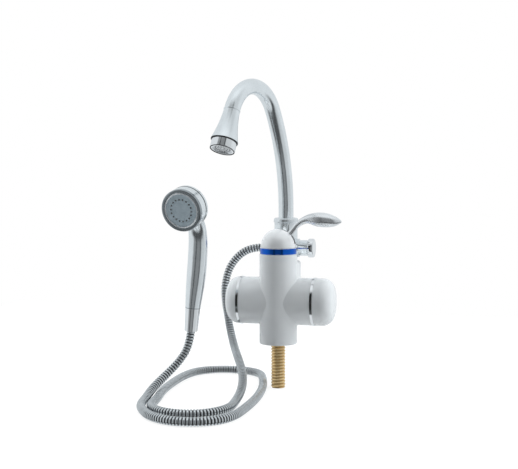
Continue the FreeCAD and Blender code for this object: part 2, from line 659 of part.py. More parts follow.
def spout():
    """Swan neck on its spigot and seals, with collar, flared nozzle, aerator and screen."""
    inner = spout_radius + seat_gap
    outline = [(inner, 0), (tee_radius, 0), (tee_radius, collar_step), (bead_radius, collar_step + 1),
               (bead_radius, collar_height - collar_step), (collar_crown, collar_height, collar_step),
               (inner, collar_height)]
    turned("spout_collar", outline, (0, boss_back, tee_top))
    turn = FreeCAD.Rotation(Vector(0, 0, 1), -90 - spout_heading.value)
    frame = FreeCAD.Placement(Vector(0, boss_back.value, tee_top.value + seat_gap.value), turn)
    lean = math.radians(sway_angle.value)
    final = lean + math.radians(arch_angle.value)
    upright = Vector(0, 0, spout_straight.value)
    sway_centre = upright + Vector(sway_radius.value, 0, 0)

    def on_arc(centre, radius, heading):
        return centre + Vector(-math.cos(heading), 0, math.sin(heading)) * radius

    sway_end = on_arc(sway_centre, sway_radius.value, lean)
    arch_centre = sway_end + Vector(math.cos(lean), 0, -math.sin(lean)) * arch_radius.value
    arch_end = on_arc(arch_centre, arch_radius.value, final)
    path = Part.Wire([Part.LineSegment(Vector(), upright).toShape(),
                      Part.Arc(upright, on_arc(sway_centre, sway_radius.value, lean / 2), sway_end).toShape(),
                      Part.Arc(sway_end, on_arc(arch_centre, arch_radius.value, (lean + final) / 2),
                               arch_end).toShape()])

    def pipe(radius):
        ring = Part.Wire(Part.Circle(Vector(), Vector(0, 0, 1), radius).toShape())
        return path.makePipeShell([ring], True, False)

    depth = spigot_depth.value
    spigot = Part.makeCylinder(spout_spigot.value, depth, Vector(0, 0, -depth))
    seats = [Vector(0, 0, -depth * share) for share in (0.35, 0.75)]
    groove_floor = spout_spigot.value - seal_groove.value
    tall = seal_height.value
    gap = running_gap.value
    way = Part.makeCylinder(spout_bore.value - seal_groove.value, depth, Vector(0, 0, -depth))
    for seat in seats:
        band = Part.makeCylinder(spout_spigot.value + 1, tall + gap * 2, seat - Vector(0, 0, gap))
        core = Part.makeCylinder(groove_floor, tall + gap * 2, seat - Vector(0, 0, gap))
        spigot = spigot.cut(band.cut(core))
    tube = pipe(spout_radius.value).cut(pipe(spout_bore.value))
    own_shape("spout_tube", tube.fuse(spigot.cut(way)).removeSplitter(), frame)
    seals = [Part.makeCylinder(spout_spigot.value, tall, seat).cut(
        Part.makeCylinder(groove_floor + gap, tall, seat)) for seat in seats]
    own_shape("spout_seals", Part.makeCompound(seals), frame)

    out = Vector(math.sin(final), 0, math.cos(final))
    mouth = frame.multVec(arch_end)
    aim = FreeCAD.Rotation(Vector(0, 0, 1), frame.Rotation.multVec(out))
    thread = aerator_radius - 1
    outline = [(spout_bore, 0), (spout_radius, 0), (nozzle_radius, nozzle_length, -nozzle_sweep),
               (thread + seat_gap, nozzle_length), (thread + seat_gap, nozzle_length - aerator_thread),
               (spout_bore, nozzle_length * 0.4)]
    turned("spout_nozzle", outline, FreeCAD.Placement(mouth, aim))
    inlet = mouth + aim.multVec(Vector(0, 0, nozzle_length.value - aerator_thread.value))
    inside = thread - wall
    lip = aerator_thread + seat_gap
    outline = [(inside, 0), (thread, 0), (thread, lip), (aerator_radius, lip),
               (aerator_radius, aerator_length + aerator_thread - 1),
               (aerator_radius - 1, aerator_length + aerator_thread, as_size(1)),
               (aerator_bore, aerator_length + aerator_thread),
               (aerator_bore, aerator_length + aerator_thread - screen_inset),
               (inside, aerator_length + aerator_thread - screen_inset)]
    turned("aerator_housing", outline, FreeCAD.Placement(inlet, aim))
    screen_top = aerator_length + aerator_thread - screen_inset - screen_thickness
    disc = turned("screen_disc", [(0, 0), (inside - running_gap, 0), (inside - running_gap, screen_thickness),
                                  (0, screen_thickness)], (0, 0, 0))
    holes = [hole_in_ring("screen_hole_%d_%d" % (ring, number), screen_hole, screen_thickness,
                          screen_hole.value * 2.8 * ring, number / (6 * ring))
             for ring in (1, 2, 3) for number in range(6 * ring)]
    seat = inlet + aim.multVec(Vector(0, 0, screen_top.value))
    place(cut("aerator_screen", disc, holes), FreeCAD.Placement(seat, aim))


# Hose route from the hose nut to the ferrule, laid by hand: off the nut, down past the left cap,
# round one and a half loops on the surface the shank stands on, and up to the hand shower
FLOOR = -58
HOSE_ROUTE = [
    (-nut_end.value, boss_back.value, cross_height.value), (-48, boss_back.value, cross_height.value),
    (-70, 52, 124), (-87, 54, 104), (-94, 54, 80), (-95, 54, 58), (-89, 54, 20), (-73, 32, -10), (-54, -8, -19),
    (-41, -44, -28), (-31, -82, -39), (-26, -114, -51),
    (-24, -145, FLOOR), (-23, -187, FLOOR),
    (-43, -215, FLOOR), (-76, -226, FLOOR), (-109, -215, FLOOR), (-129, -187, FLOOR), (-135, -138, FLOOR),
    (-145, -84, FLOOR), (-154, -26, FLOOR), (-155, 24, FLOOR), (-142, 62, FLOOR), (-111, 86, FLOOR),
    (-74, 84, FLOOR), (-46, 59, FLOOR), (-29, 16, FLOOR), (-18, -42, FLOOR), (-9, -102, FLOOR), (-3, -160, FLOOR),
    (-9, -213, FLOOR), (-35, -252, FLOOR), (-76, -267, FLOOR), (-116, -250, FLOOR), (-140, -217, FLOOR),
    (-147, -183, FLOOR), (-151, -150, -56), (-148, -121, -48), (-138, -98, -36), (-120, -85, -19),
    (-108, -80, 3.1), (-106, -80, 26)]


def hose_path():
    """Straight runs joined by arcs as large as the runs allow, and the radii of those arcs."""
    spots = [Vector(*spot) for spot in HOSE_ROUTE]
    edges = []
    radii = []
    start = spots[0]
    for before, corner, after in zip(spots, spots[1:], spots[2:]):
        back = before - corner
        ahead = after - corner
        cut_off = 0.45 * min(back.Length, ahead.Length)
        half_turn = (math.pi - back.getAngle(ahead)) / 2
        radii.append(cut_off / math.tan(half_turn))
        back.normalize()
        ahead.normalize()
        enter = corner + back * cut_off
        leave = corner + ahead * cut_off
        inward = (back + ahead).normalize()
        middle = corner + inward * (math.hypot(cut_off, radii[-1]) - radii[-1])
        edges.append(Part.LineSegment(start, enter).toShape())
        edges.append(Part.Arc(enter, middle, leave).toShape())
        start = leave
    edges.append(Part.LineSegment(start, spots[-1]).toShape())
    return edges, radii


def shower_hose():
    """Ribbed metal hose: four circles to a rib along the route, round one bore."""
    edges, radii = hose_path()
    length = sum(edge.Length for edge in edges)
    ribs = int(rib_count.value)
    pitch = length / ribs
    crest = hose_radius.value
    root = hose_root.value
    shape_of_rib = [(0.00, root), (0.22, crest), (0.68, crest), (0.90, root)]
    stops = [((rib + share) * pitch, radius) for rib in range(ribs) for share, radius in shape_of_rib]
    stops.append((length, root))
    side = Vector(0, 0, 1)
    outer = []
    inner = []
    passed = 0
    index = 0
    for distance, radius in stops:
        while index < len(edges) - 1 and distance > passed + edges[index].Length:
            passed += edges[index].Length
            index += 1
        edge = edges[index]
        parameter = edge.getParameterByLength(min(distance - passed, edge.Length))
        spot = edge.valueAt(parameter)
        along = edge.tangentAt(parameter)
        side = (side - along * side.dot(along)).normalize()
        turn = FreeCAD.Rotation(side, along.cross(side), along, "ZXY")
        placement = FreeCAD.Placement(spot, turn)
        for rings, amount in ((outer, radius), (inner, hose_bore.value)):
            circle = Part.Circle(Vector(), Vector(0, 0, 1), amount).toShape()
            circle.Placement = placement
            rings.append(Part.Wire(circle))
    every_rib = inner[::4]
    solid = Part.makeLoft(outer, True, True).cut(Part.makeLoft(every_rib, True, True))
    print("hose length %.1f, least bend radius %.1f, rib pitch %.2f" % (length, min(radii), pitch))
    print("hose bend radii", ["%.0f" % radius for radius in radii])
    slope = (root ** 2 + root * crest + crest ** 2) / 3
    section = math.pi * (0.46 * crest ** 2 + 0.10 * root ** 2 + 0.44 * slope - hose_bore.value ** 2)
    print("hose volume %.0f, mean section by length %.0f" % (solid.Volume, section * length))
    own_shape("shower_hose", solid)


def hand_shower():
    """Hose ferrule, handset with its grip and head in one shell, bezel and drilled spray plate."""
    lean = FreeCAD.Rotation(Vector(0, 1, 0), handset_tilt.value)
    turn = lean.multiply(FreeCAD.Rotation(Vector(0, 0, 1), handset_turn.value))
    frame = FreeCAD.Placement(Vector(*HOSE_ROUTE[-1]), turn)
    inner = handset_nipple + seat_gap
    floor = ferrule_length * 0.4
    outline = [(hose_bore, 0), (ferrule_small, 0), (ferrule_large, ferrule_length), (inner, ferrule_length),
               (inner, floor), (hose_bore, floor)]
    turned("hose_ferrule", outline, frame)

    half_width = grip_width.value / 2
    half_depth = grip_depth.value / 2
    foot = handset_seat.value
    long = grip_length.value
    out = grip_lean.value
    # share of the grip's length, offset to the front, lean in degrees, half width, half depth
    stations = [(0.00, 0, 0, ferrule_large.value, ferrule_large.value - 0.01),
                (0.16, -0.03 * out, 0, half_width * 0.90, half_depth * 0.95),
                (0.36, -0.07 * out, 0, half_width, half_depth),
                (0.58, -0.04 * out, 4, half_width, half_depth * 0.97),
                (0.76, 0.09 * out, 16, half_width * 0.97, half_depth * 0.90),
                (0.90, 0.40 * out, 38, half_width * 0.88, half_depth * 0.82),
                (1.00, out, 60, half_width * 0.78, half_depth * 0.75)]
    wires = [oval(Vector(0, -front, foot + long * share),
                  Vector(0, -math.sin(math.radians(bend)), math.cos(math.radians(bend))), Vector(1, 0, 0), wide, deep)
             for share, front, bend, wide, deep in stations]
    grip = own_shape("grip", Part.makeLoft(wires, True, False))
    nipple = cylinder("handset_nipple_tube", handset_nipple, ferrule_length * 0.55, (0, 0, ferrule_length * 0.5))
    curve = head_depth - head_side
    dish = (head_radius * head_radius + curve * curve) / (curve * 2)
    aim = FreeCAD.Rotation(Vector(1, 0, 0), 90 + head_nod.value)
    head = FreeCAD.Placement(Vector(0, -head_forward.value, head_height.value), aim)

    def in_head(depth):
        return head.multiply(FreeCAD.Placement(Vector(0, 0, depth.value), UPRIGHT))

    shell = turned("head_shell", [(0, 0), (head_radius, curve, dish), (head_radius, head_depth), (0, head_depth)], head)
    plate_radius = head_radius - bezel_width
    plate_back = head_depth + bezel_height - plate_inset - plate_thickness
    recess = cylinder("head_recess", plate_radius, plate_thickness * 2, in_head(plate_back))
    water = cylinder("handset_way", water_way, ferrule_length, (0, 0, ferrule_length * 0.5))
    place(cut("handset_body", fuse("handset_outside", [grip, nipple, shell]), [recess, water]), frame)
    outline = [(plate_radius, 0), (head_radius, 0), (head_radius, bezel_height - bezel_round),
               (head_radius - bezel_round, bezel_height, bezel_round), (plate_radius, bezel_height)]
    turned("handset_bezel", outline, frame.multiply(in_head(head_depth)))
    disc = turned("spray_disc", [(0, 0), (plate_radius - running_gap, 0), (plate_radius - running_gap, plate_thickness),
                                 (0, plate_thickness)], (0, 0, 0))
    count = int(spray_count.value)
    holes = [hole_in_ring("spray_hole_%d" % number, spray_hole, plate_thickness, spray_circle.value, number / count)
             for number in range(count)]
    place(cut("spray_plate", disc, holes), frame.multiply(in_head(plate_back)))


NODES = ["tap_housing", "left_trim_ring", "right_trim_ring", "left_end_cap", "right_end_cap", "threaded_shank",
         "inlet_tube", "outlet_tube", "heater_tank", "tank_cover", "heating_element", "thermal_cutout",
         "control_board", "flow_switch", "cable_gland", "light_ring", "cartridge_body", "cartridge_nut",
         "cartridge_stem", "dome_cap", "lever_pin", "lever_handle", "diverter_tee", "diverter_knob", "diverter_stem",
         "hose_nut", "spout_collar", "spout_tube", "spout_seals", "spout_nozzle", "aerator_housing",
         "aerator_screen", "shower_hose", "hose_ferrule", "handset_body", "handset_bezel", "spray_plate"]


def write_parts():
    """Check every object and piece, then write each piece to its own file."""
    doc.recompute()
    for item in doc.Objects:
        if "Invalid" in item.State or "Error" in item.State:
            raise RuntimeError("%s did not build: %s" % (item.Label, item.State))
    pieces = {label: doc.getObjectsByLabel(label)[0] for label in NODES}
    for label, item in pieces.items():
        if item.Shape.isNull() or not item.Shape.isValid():
            raise RuntimeError("%s has no valid shape" % label)
    os.makedirs("parts", exist_ok=True)
    for label, item in pieces.items():
        item.Shape.exportStep("parts/%s.step" % label)
        print("%-16s solids %d volume %.1f" % (label, len(item.Shape.Solids), item.Shape.Volume))


tap_housing()
barrel_ends()
threaded_shank()
water_pipes()
heater()
cable_gland()
valve()
dome_cap()
lever_handle()
diverter()
spout()
shower_hose()
hand_shower()
write_parts()
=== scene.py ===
"""Looks of an instant hot water tap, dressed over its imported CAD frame."""

import logging
import math
from dataclasses import dataclass, field
from enum import Enum, IntEnum
from typing import Sequence

import bmesh
import bpy
import numpy as np
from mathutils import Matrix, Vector

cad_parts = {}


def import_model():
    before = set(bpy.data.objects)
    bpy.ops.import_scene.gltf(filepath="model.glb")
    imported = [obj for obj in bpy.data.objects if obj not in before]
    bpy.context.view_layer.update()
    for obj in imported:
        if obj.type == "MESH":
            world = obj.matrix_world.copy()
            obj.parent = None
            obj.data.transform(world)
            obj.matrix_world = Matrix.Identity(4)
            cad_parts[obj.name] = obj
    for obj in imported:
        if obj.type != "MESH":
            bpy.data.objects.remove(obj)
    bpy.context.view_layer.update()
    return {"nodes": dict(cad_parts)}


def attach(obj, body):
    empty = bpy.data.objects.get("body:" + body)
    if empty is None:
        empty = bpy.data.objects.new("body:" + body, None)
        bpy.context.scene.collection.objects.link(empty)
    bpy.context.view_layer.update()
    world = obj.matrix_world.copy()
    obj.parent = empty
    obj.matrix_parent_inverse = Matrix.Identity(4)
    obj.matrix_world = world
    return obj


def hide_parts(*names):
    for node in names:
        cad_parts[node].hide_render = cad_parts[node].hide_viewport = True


LOG = logging.getLogger("tap")
MM = 0.001
# points nearer than this, in metres, are merged
WELD = 1e-6
FULL_TURN = 2.0 * math.pi
QUARTER_TURN = math.pi / 2.0
# mesh attribute that marks where painted shade lies in grooves
GROOVE_SHADE = "groove"
Points = np.ndarray
Colour = tuple[float, float, float]
Place = tuple[float, float, float]
Stops = Sequence[tuple[float, float]]
Socket = bpy.types.NodeSocket


class Body(str, Enum):
    """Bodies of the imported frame."""

    BASE = "base"
    HANDLE = "handle"
    LEVER = "lever"
    SPOUT = "spout"
    DIVERTER = "diverter"
    HANDSET = "handset"


class Slot(str, Enum):
    """Names of material slots."""

    WHITE = "white_plastic"
    CHROME = "chrome"
    BRASS = "brass"
    PIPE = "pipe_plastic"
    STEEL = "tank_steel"
    BOARD = "board"
    RUBBER = "black_rubber"
    BLUE = "blue_ring"
    SCREEN = "screen_plastic"
    HOSE = "hose_steel"
    BEZEL = "bezel_grey"
    PLATE = "plate_grey"


class MixSocket(IntEnum):
    """Sockets of a colour mix node: its share, its two colours and its result."""

    SHARE = 0
    FIRST = 6
    SECOND = 7
    RESULT = 2


class NodeMaterial:
    """Small helper that keeps one material's node tree readable."""

    def __init__(self, name: str) -> None:
        """Start a material with its principled shader.

        Args:
            name: Name of the new material.
        """
        self.material = bpy.data.materials.new(name)
        self.material.use_nodes = True
        self.nodes = self.material.node_tree.nodes
        self.links = self.material.node_tree.links
        self.shader = self.nodes["Principled BSDF"]

    def set(self, **values: float | Sequence[float]) -> None:
        """Set sockets of the shader by name, with underscores for spaces.

        Args:
            values: Socket values.
        """
        for key, value in values.items():
            self.shader.inputs[key.replace("_", " ")].default_value = value

    def noise(self, scale: float, detail: float) -> Socket:
        """Noise over the object's own coordinates.

        Args:
            scale: Grains to a metre.
            detail: Octaves.

        Returns:
            The factor's socket.
        """
        place = self.nodes.new("ShaderNodeTexCoord")
        grain = self.nodes.new("ShaderNodeTexNoise")
        grain.inputs["Scale"].default_value = scale
        grain.inputs["Detail"].default_value = detail
        self.links.new(place.outputs["Object"], grain.inputs["Vector"])
        return grain.outputs["Fac"]

    def spread(self, value: Socket, low: float, high: float, socket: str) -> None:
        """Map a factor to a range on one of the shader's sockets.

        Args:
            value: Factor from 0 to 1.
            low: Result at 0.
            high: Result at 1.
            socket: Name of the shader's socket.
        """
        remap = self.nodes.new("ShaderNodeMapRange")
        remap.inputs["To Min"].default_value = low
        remap.inputs["To Max"].default_value = high
        self.links.new(value, remap.inputs["Value"])
        self.links.new(remap.outputs["Result"], self.shader.inputs[socket])

    def tint(self, value: Socket, stops: Sequence[tuple[float, Colour]]) -> None:
        """Colour the surface by a ramp between two colours.

        Args:
            value: Factor from 0 to 1.
            stops: The two positions and their colours.
        """
        ramp = self.nodes.new("ShaderNodeValToRGB")
        for element, (position, colour) in zip(ramp.color_ramp.elements, stops):
            element.position = position
            element.color = (*colour, 1.0)
        self.links.new(value, ramp.inputs["Fac"])
        self.links.new(ramp.outputs["Color"], self.shader.inputs["Base Color"])

    def paint_shade(self, attribute: str, colour: Colour) -> None:
        """Lay a painted shade colour over the surface where an attribute of the mesh is high.

        Args:
            attribute: Name of the mesh's attribute.
            colour: Painted shade colour at 1.
        """
        level = self.nodes.new("ShaderNodeAttribute")
        level.attribute_name = attribute
        mix = self.nodes.new("ShaderNodeMix")
        mix.data_type = "RGBA"
        mix.inputs[MixSocket.SECOND].default_value = (*colour, 1.0)
        base = self.shader.inputs["Base Color"]
        self.links.new(level.outputs["Fac"], mix.inputs[MixSocket.SHARE])
        self.links.new(base.links[0].from_socket, mix.inputs[MixSocket.FIRST])
        self.links.new(mix.outputs[MixSocket.RESULT], base)

    def bump(self, value: Socket, depth: float, strength: float) -> None:
        """Raise the surface by a factor.

        Args:
            value: Height from 0 to 1.
            depth: Height in metres.
            strength: Share of the effect.
        """
        relief = self.nodes.new("ShaderNodeBump")
        relief.inputs["Distance"].default_value = depth
        relief.inputs["Strength"].default_value = strength
        self.links.new(value, relief.inputs["Height"])
        self.links.new(relief.outputs["Normal"], self.shader.inputs["Normal"])


@dataclass(frozen=True)
class Finish:
    """One finish: base colour, its slight variation, gloss and metal, and the grain's relief.

    The grain is in grains to a metre and its relief in metres. The variation comes in patches
    broader than the grain. A groove colour is painted shade, laid where the mesh marks its
    grooves.
    """

    name: str
    colour: Colour
    varied: Colour
    metallic: float
    rough: tuple[float, float]
    grain: float
    relief: float
    coat: float = 0.0
    # painted shade colour in the mesh's grooves
    groove: Colour | None = None
    ior: float = 1.5
    coat_rough: float = 0.05
    patch: float = 0.06
    patch_edges: tuple[float, float] = (0.35, 0.65)
    patch_detail: float = 2.0
    grain_detail: float = 4.0
    relief_share: float = 0.6

    def material(self) -> bpy.types.Material:
        """Make the finish's material.

        Returns:
            The material.
        """
        maker = NodeMaterial(self.name)
        maker.set(Metallic=self.metallic, IOR=self.ior, Coat_Weight=self.coat,
                  Coat_Roughness=self.coat_rough)
        broad = maker.noise(self.grain * self.patch, self.patch_detail)
        fine = maker.noise(self.grain, self.grain_detail)
        maker.tint(broad, tuple(zip(self.patch_edges, (self.colour, self.varied))))
        # painted shade in the grooves
        if self.groove:
            maker.paint_shade(GROOVE_SHADE, self.groove)
        maker.spread(fine, *self.rough, "Roughness")
        maker.bump(fine, self.relief, self.relief_share)
        return maker.material


WHITE = Finish("gloss_white_plastic", (0.88, 0.89, 0.895), (0.86, 0.87, 0.88), metallic=0.0,
               rough=(0.2, 0.28), grain=900, relief=6e-6, coat=0.3)
PEARL = Finish("pearl_silver", (0.98, 0.98, 0.985), (0.95, 0.95, 0.96), metallic=0.15,
               rough=(0.16, 0.24), grain=1500, relief=4e-6, coat=0.8)
CHROME = Finish("polished_chrome", (0.88, 0.895, 0.91), (0.84, 0.855, 0.87), metallic=1.0,
                rough=(0.05, 0.1), grain=700, relief=3e-6)
SOFT_CHROME = Finish("satin_chrome", (0.84, 0.875, 0.895), (0.79, 0.825, 0.845), metallic=1.0,
                     rough=(0.14, 0.22), grain=700, relief=4e-6)
CAST_CHROME = Finish("satin_cast_chrome", (0.80, 0.83, 0.85), (0.75, 0.78, 0.80), metallic=1.0,
                     rough=(0.22, 0.3), grain=700, relief=4e-6)
LEVER_CHROME = Finish("brushed_lever_chrome", (0.86, 0.875, 0.89), (0.81, 0.825, 0.84),
                      metallic=1.0, rough=(0.24, 0.31), grain=700, relief=4e-6)
TRIM = Finish("polished_trim_chrome", (0.86, 0.87, 0.885), (0.82, 0.83, 0.845), metallic=1.0,
              rough=(0.03, 0.05), grain=900, relief=2e-6)
# its groove colour is painted shade in the thread's grooves
BRASS = Finish("machined_brass", (0.98, 0.74, 0.42), (0.90, 0.64, 0.33), metallic=1.0,
               rough=(0.16, 0.28), grain=1200, relief=8e-6, groove=(0.56, 0.38, 0.16))
PIPE = Finish("moulded_pipe_plastic", (0.72, 0.71, 0.67), (0.66, 0.65, 0.61), metallic=0.0,
              rough=(0.45, 0.6), grain=1400, relief=1e-5)
STEEL = Finish("drawn_steel", (0.60, 0.61, 0.62), (0.52, 0.53, 0.54), metallic=1.0,
               rough=(0.25, 0.4), grain=900, relief=8e-6)
BOARD = Finish("circuit_board", (0.03, 0.26, 0.11), (0.02, 0.2, 0.08), metallic=0.0,
               rough=(0.3, 0.45), grain=1500, relief=1e-5)
RUBBER = Finish("matt_rubber", (0.03, 0.03, 0.032), (0.045, 0.045, 0.048), metallic=0.0,
                rough=(0.6, 0.8), grain=2000, relief=2e-5)
BLUE = Finish("metallic_blue_ring", (0.001, 0.115, 0.60), (0.001, 0.10, 0.54), metallic=0.98,
              rough=(0.08, 0.14), grain=600, relief=3e-6, coat=0.2)
SCREEN = Finish("aerator_mesh", (0.86, 0.87, 0.88), (0.80, 0.81, 0.82), metallic=0.9,
                rough=(0.35, 0.5), grain=1500, relief=1e-5)
# its near-black groove colour is painted shade between the hose's ribs
HOSE = Finish("wound_steel_strip", (0.72, 0.75, 0.77), (0.64, 0.67, 0.69), metallic=1.0,
              rough=(0.05, 0.1), grain=1500, relief=6e-6, groove=(0.03, 0.032, 0.035))
PLATE = Finish("grey_spray_plate", (0.58, 0.68, 0.74), (0.52, 0.62, 0.68), metallic=0.1,
               rough=(0.35, 0.5), grain=2500, relief=1.5e-5)
NUB = Finish("grey_nub_rubber", (0.14, 0.15, 0.155), (0.17, 0.18, 0.185), metallic=0.0,
             rough=(0.6, 0.8), grain=2000, relief=2e-5)
RIM = Finish("pale_rim_chrome", (0.98, 0.985, 1.0), (0.96, 0.97, 0.985), metallic=0.5,
             rough=(0.08, 0.14), grain=900, relief=2e-6, coat=1.0)
DARK = Finish("dark_chrome", (0.40, 0.43, 0.45), (0.34, 0.37, 0.39), metallic=1.0,
              rough=(0.1, 0.18), grain=900, relief=4e-6)


class Workshop:
    """Makes mesh objects from whole arrays and hands each to the frame."""

    def __init__(self, nodes: dict[str, bpy.types.Object]) -> None:
        """Keep the frame's nodes and a store of made materials.

        Args:
            nodes: CAD node objects by name.
        """
        self.nodes = nodes
        self.made: dict[str, bpy.types.Material] = {}

    def finish(self, finish: Finish) -> bpy.types.Material:
        """Material of a finish, made once.

        Args:
            finish: The finish wanted.

        Returns:
            Its material.
        """
        if finish.name not in self.made:
            self.made[finish.name] = finish.material()
        return self.made[finish.name]

    def link(self, mesh: bpy.types.Mesh, name: str, finish: Finish, body: Body, slot: Slot,
             stands_for: Sequence[str] = ()) -> bpy.types.Object:
        """Put a mesh in the scene as a piece of the object.

        Args:
            mesh: Finished mesh in the row frame.
            name: Name of the piece.
            finish: Its finish.
            body: Body that it rides on.
            slot: Material slot; not used.
            stands_for: CAD nodes that it replaces.

        Returns:
            The piece.
        """
        piece = bpy.data.objects.new(name, mesh)
        bpy.context.scene.collection.objects.link(piece)
        piece.data.materials.append(self.finish(finish))
        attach(piece, body.value)
        if stands_for:
            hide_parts(*stands_for)
        return piece

    def smooth_copy(self, node: str, finish: Finish, body: Body, slot: Slot,
                    crease: float = 32.0) -> bpy.types.Object:
        """Smoothly shaded stand-in with exactly the CAD node's shape.

        Args:
            node: CAD node.
            finish: Finish of the piece.
            body: Body that it rides on.
            slot: Record slot.
            crease: Edges sharper than this angle in degrees stay sharp.

        Returns:
            The piece.
        """
        mesh = self.nodes[node].data.copy()
        mesh.materials.clear()
        work = bmesh.new()
        work.from_mesh(mesh)
        bmesh.ops.remove_doubles(work, verts=work.verts, dist=WELD)
        limit = math.radians(crease)
        for face in work.faces:
            face.smooth = True
        for edge in work.edges:
            edge.smooth = edge.is_manifold and edge.calc_face_angle(math.pi) < limit
        clean = bpy.data.meshes.new(node + "_look")
        work.to_mesh(clean)
        work.free()
        bpy.data.meshes.remove(mesh)
        return self.link(clean, node + "_look", finish, body, slot, (node,))


@dataclass(frozen=True)
class PhotoCamera:
    """Camera at the photograph's viewing angle, fitted to the photograph's frame."""

    place: Place = (0.3599, -1.5590, 0.2631)
    yaw: float = 13.99
    pitch: float = 3.81
    focal_px: float = 1121.7
    frame_px: float = 518.0
    sensor_mm: float = 36.0

    def build(self) -> None:
        """Make the camera, turned by the yaw to the left and the pitch down, and use it."""
        data = bpy.data.cameras.new("photo_camera")
        data.sensor_width = self.sensor_mm
        data.lens = self.focal_px / self.frame_px * self.sensor_mm
        camera = bpy.data.objects.new("photo_camera", data)
        yaw, pitch = math.radians(self.yaw), math.radians(self.pitch)
        level = math.cos(pitch)
        ahead = Vector((-math.sin(yaw) * level, math.cos(yaw) * level, -math.sin(pitch)))
        camera.location = self.place
        camera.rotation_mode = "QUATERNION"
        camera.rotation_quaternion = ahead.to_track_quat("-Z", "Y")
        bpy.context.scene.collection.objects.link(camera)
        bpy.context.scene.camera = camera


class TentNodes:
    """Small helper that keeps the world's node tree readable."""

    def __init__(self, name: str) -> None:
        """Start a world and use it for the scene.

        Args:
            name: Name of the new world.
        """
        world = bpy.data.worlds.new(name)
        bpy.context.scene.world = world
        world.use_nodes = True
        self.nodes = world.node_tree.nodes
        self.links = world.node_tree.links
        self.place = self.nodes.new("ShaderNodeTexCoord").outputs["Generated"]

    def along(self, axis: Place) -> Socket:
        """Share of the ray's direction along an axis.

        Args:
            axis: Unit direction.

        Returns:
            The share's socket.
        """
        dot = self.nodes.new("ShaderNodeVectorMath")
        dot.operation = "DOT_PRODUCT"
        dot.inputs[1].default_value = axis
        self.links.new(self.place, dot.inputs[0])
        return dot.outputs["Value"]

    def step(self, kind: str, *values: Socket) -> Socket:
        """One step of arithmetic on sockets.

        Args:
            kind: Operation of the math node.
            values: Sockets that it takes.

        Returns:
            The result's socket.
        """
        node = self.nodes.new("ShaderNodeMath")
        node.operation = kind
        for socket, value in zip(node.inputs, values):
            self.links.new(value, socket)
        return node.outputs["Value"]

    def fit(self, value: Socket, low: float, high: float, start: float, end: float) -> Socket:
        """Map a range to another one, without leaving it.

        Args:
            value: Socket to map.
            low: Value that gives the start.
            high: Value that gives the end.
            start: First result.
            end: Last result.

        Returns:
            The result's socket.
        """
        remap = self.nodes.new("ShaderNodeMapRange")
        amounts = {"From Min": low, "From Max": high, "To Min": start, "To Max": end}
        for key, amount in amounts.items():
            remap.inputs[key].default_value = amount
        self.links.new(value, remap.inputs["Value"])
        return remap.outputs["Result"]

    def bands(self, angle: Socket, stops: Stops, span: float) -> Socket:
        """Level by an angle or a share.

        Args:
            angle: Angle in radians, or a share.
            stops: Positions and levels, from the first to the last position.
            span: Half of the socket's range.

        Returns:
            The level's socket.
        """
        ramp = self.nodes.new("ShaderNodeValToRGB")
        steps = ramp.color_ramp.elements
        steps[1].position = 1.0
        first, last = stops[0][0], stops[-1][0]
        for spot, _ in stops[1:-1]:
            steps.new((spot - first) / (last - first))
        for element, (_, level) in zip(steps, stops):
            element.color = (level, level, level, 1.0)
        self.links.new(self.fit(angle, -span, span, 0.0, 1.0), ramp.inputs["Fac"])
        return ramp.outputs["Color"]

    def mixed(self, share: Socket, first: Socket, second: Socket) -> Socket:
        """Lay a second colour over a first one.

        Args:
            share: Share of the second colour.
            first: Colour below.
            second: Colour above.

        Returns:
            The mixed colour's socket.
        """
        mix = self.nodes.new("ShaderNodeMix")
        mix.data_type = "RGBA"
        self.links.new(share, mix.inputs[MixSocket.SHARE])
        self.links.new(first, mix.inputs[MixSocket.FIRST])
        self.links.new(second, mix.inputs[MixSocket.SECOND])
        return mix.outputs[MixSocket.RESULT]

    def light(self, level: Socket, tint: Colour) -> Socket:
        """Light of a level with a slight tint.

        Args:
            level: Level or grey colour.
            tint: Colour that it is multiplied by.

        Returns:
            The background shader's socket.
        """
        tinted = self.nodes.new("ShaderNodeVectorMath")
        tinted.operation = "MULTIPLY"
        tinted.inputs[1].default_value = tint
        glow = self.nodes.new("ShaderNodeBackground")
        self.links.new(level, tinted.inputs[0])
        self.links.new(tinted.outputs["Vector"], glow.inputs["Color"])
        return glow.outputs["Background"]

    def choose(self, share: Socket, first: Socket, second: Socket) -> Socket:
        """Mix two background shaders.

        Args:
            share: Share of the second shader.
            first: Shader at 0.
            second: Shader at 1.

        Returns:
            The mixed shader's socket.
        """
        mix = self.nodes.new("ShaderNodeMixShader")
        for socket, value in zip(mix.inputs, (share, first, second)):
            self.links.new(value, socket)
        return mix.outputs["Shader"]


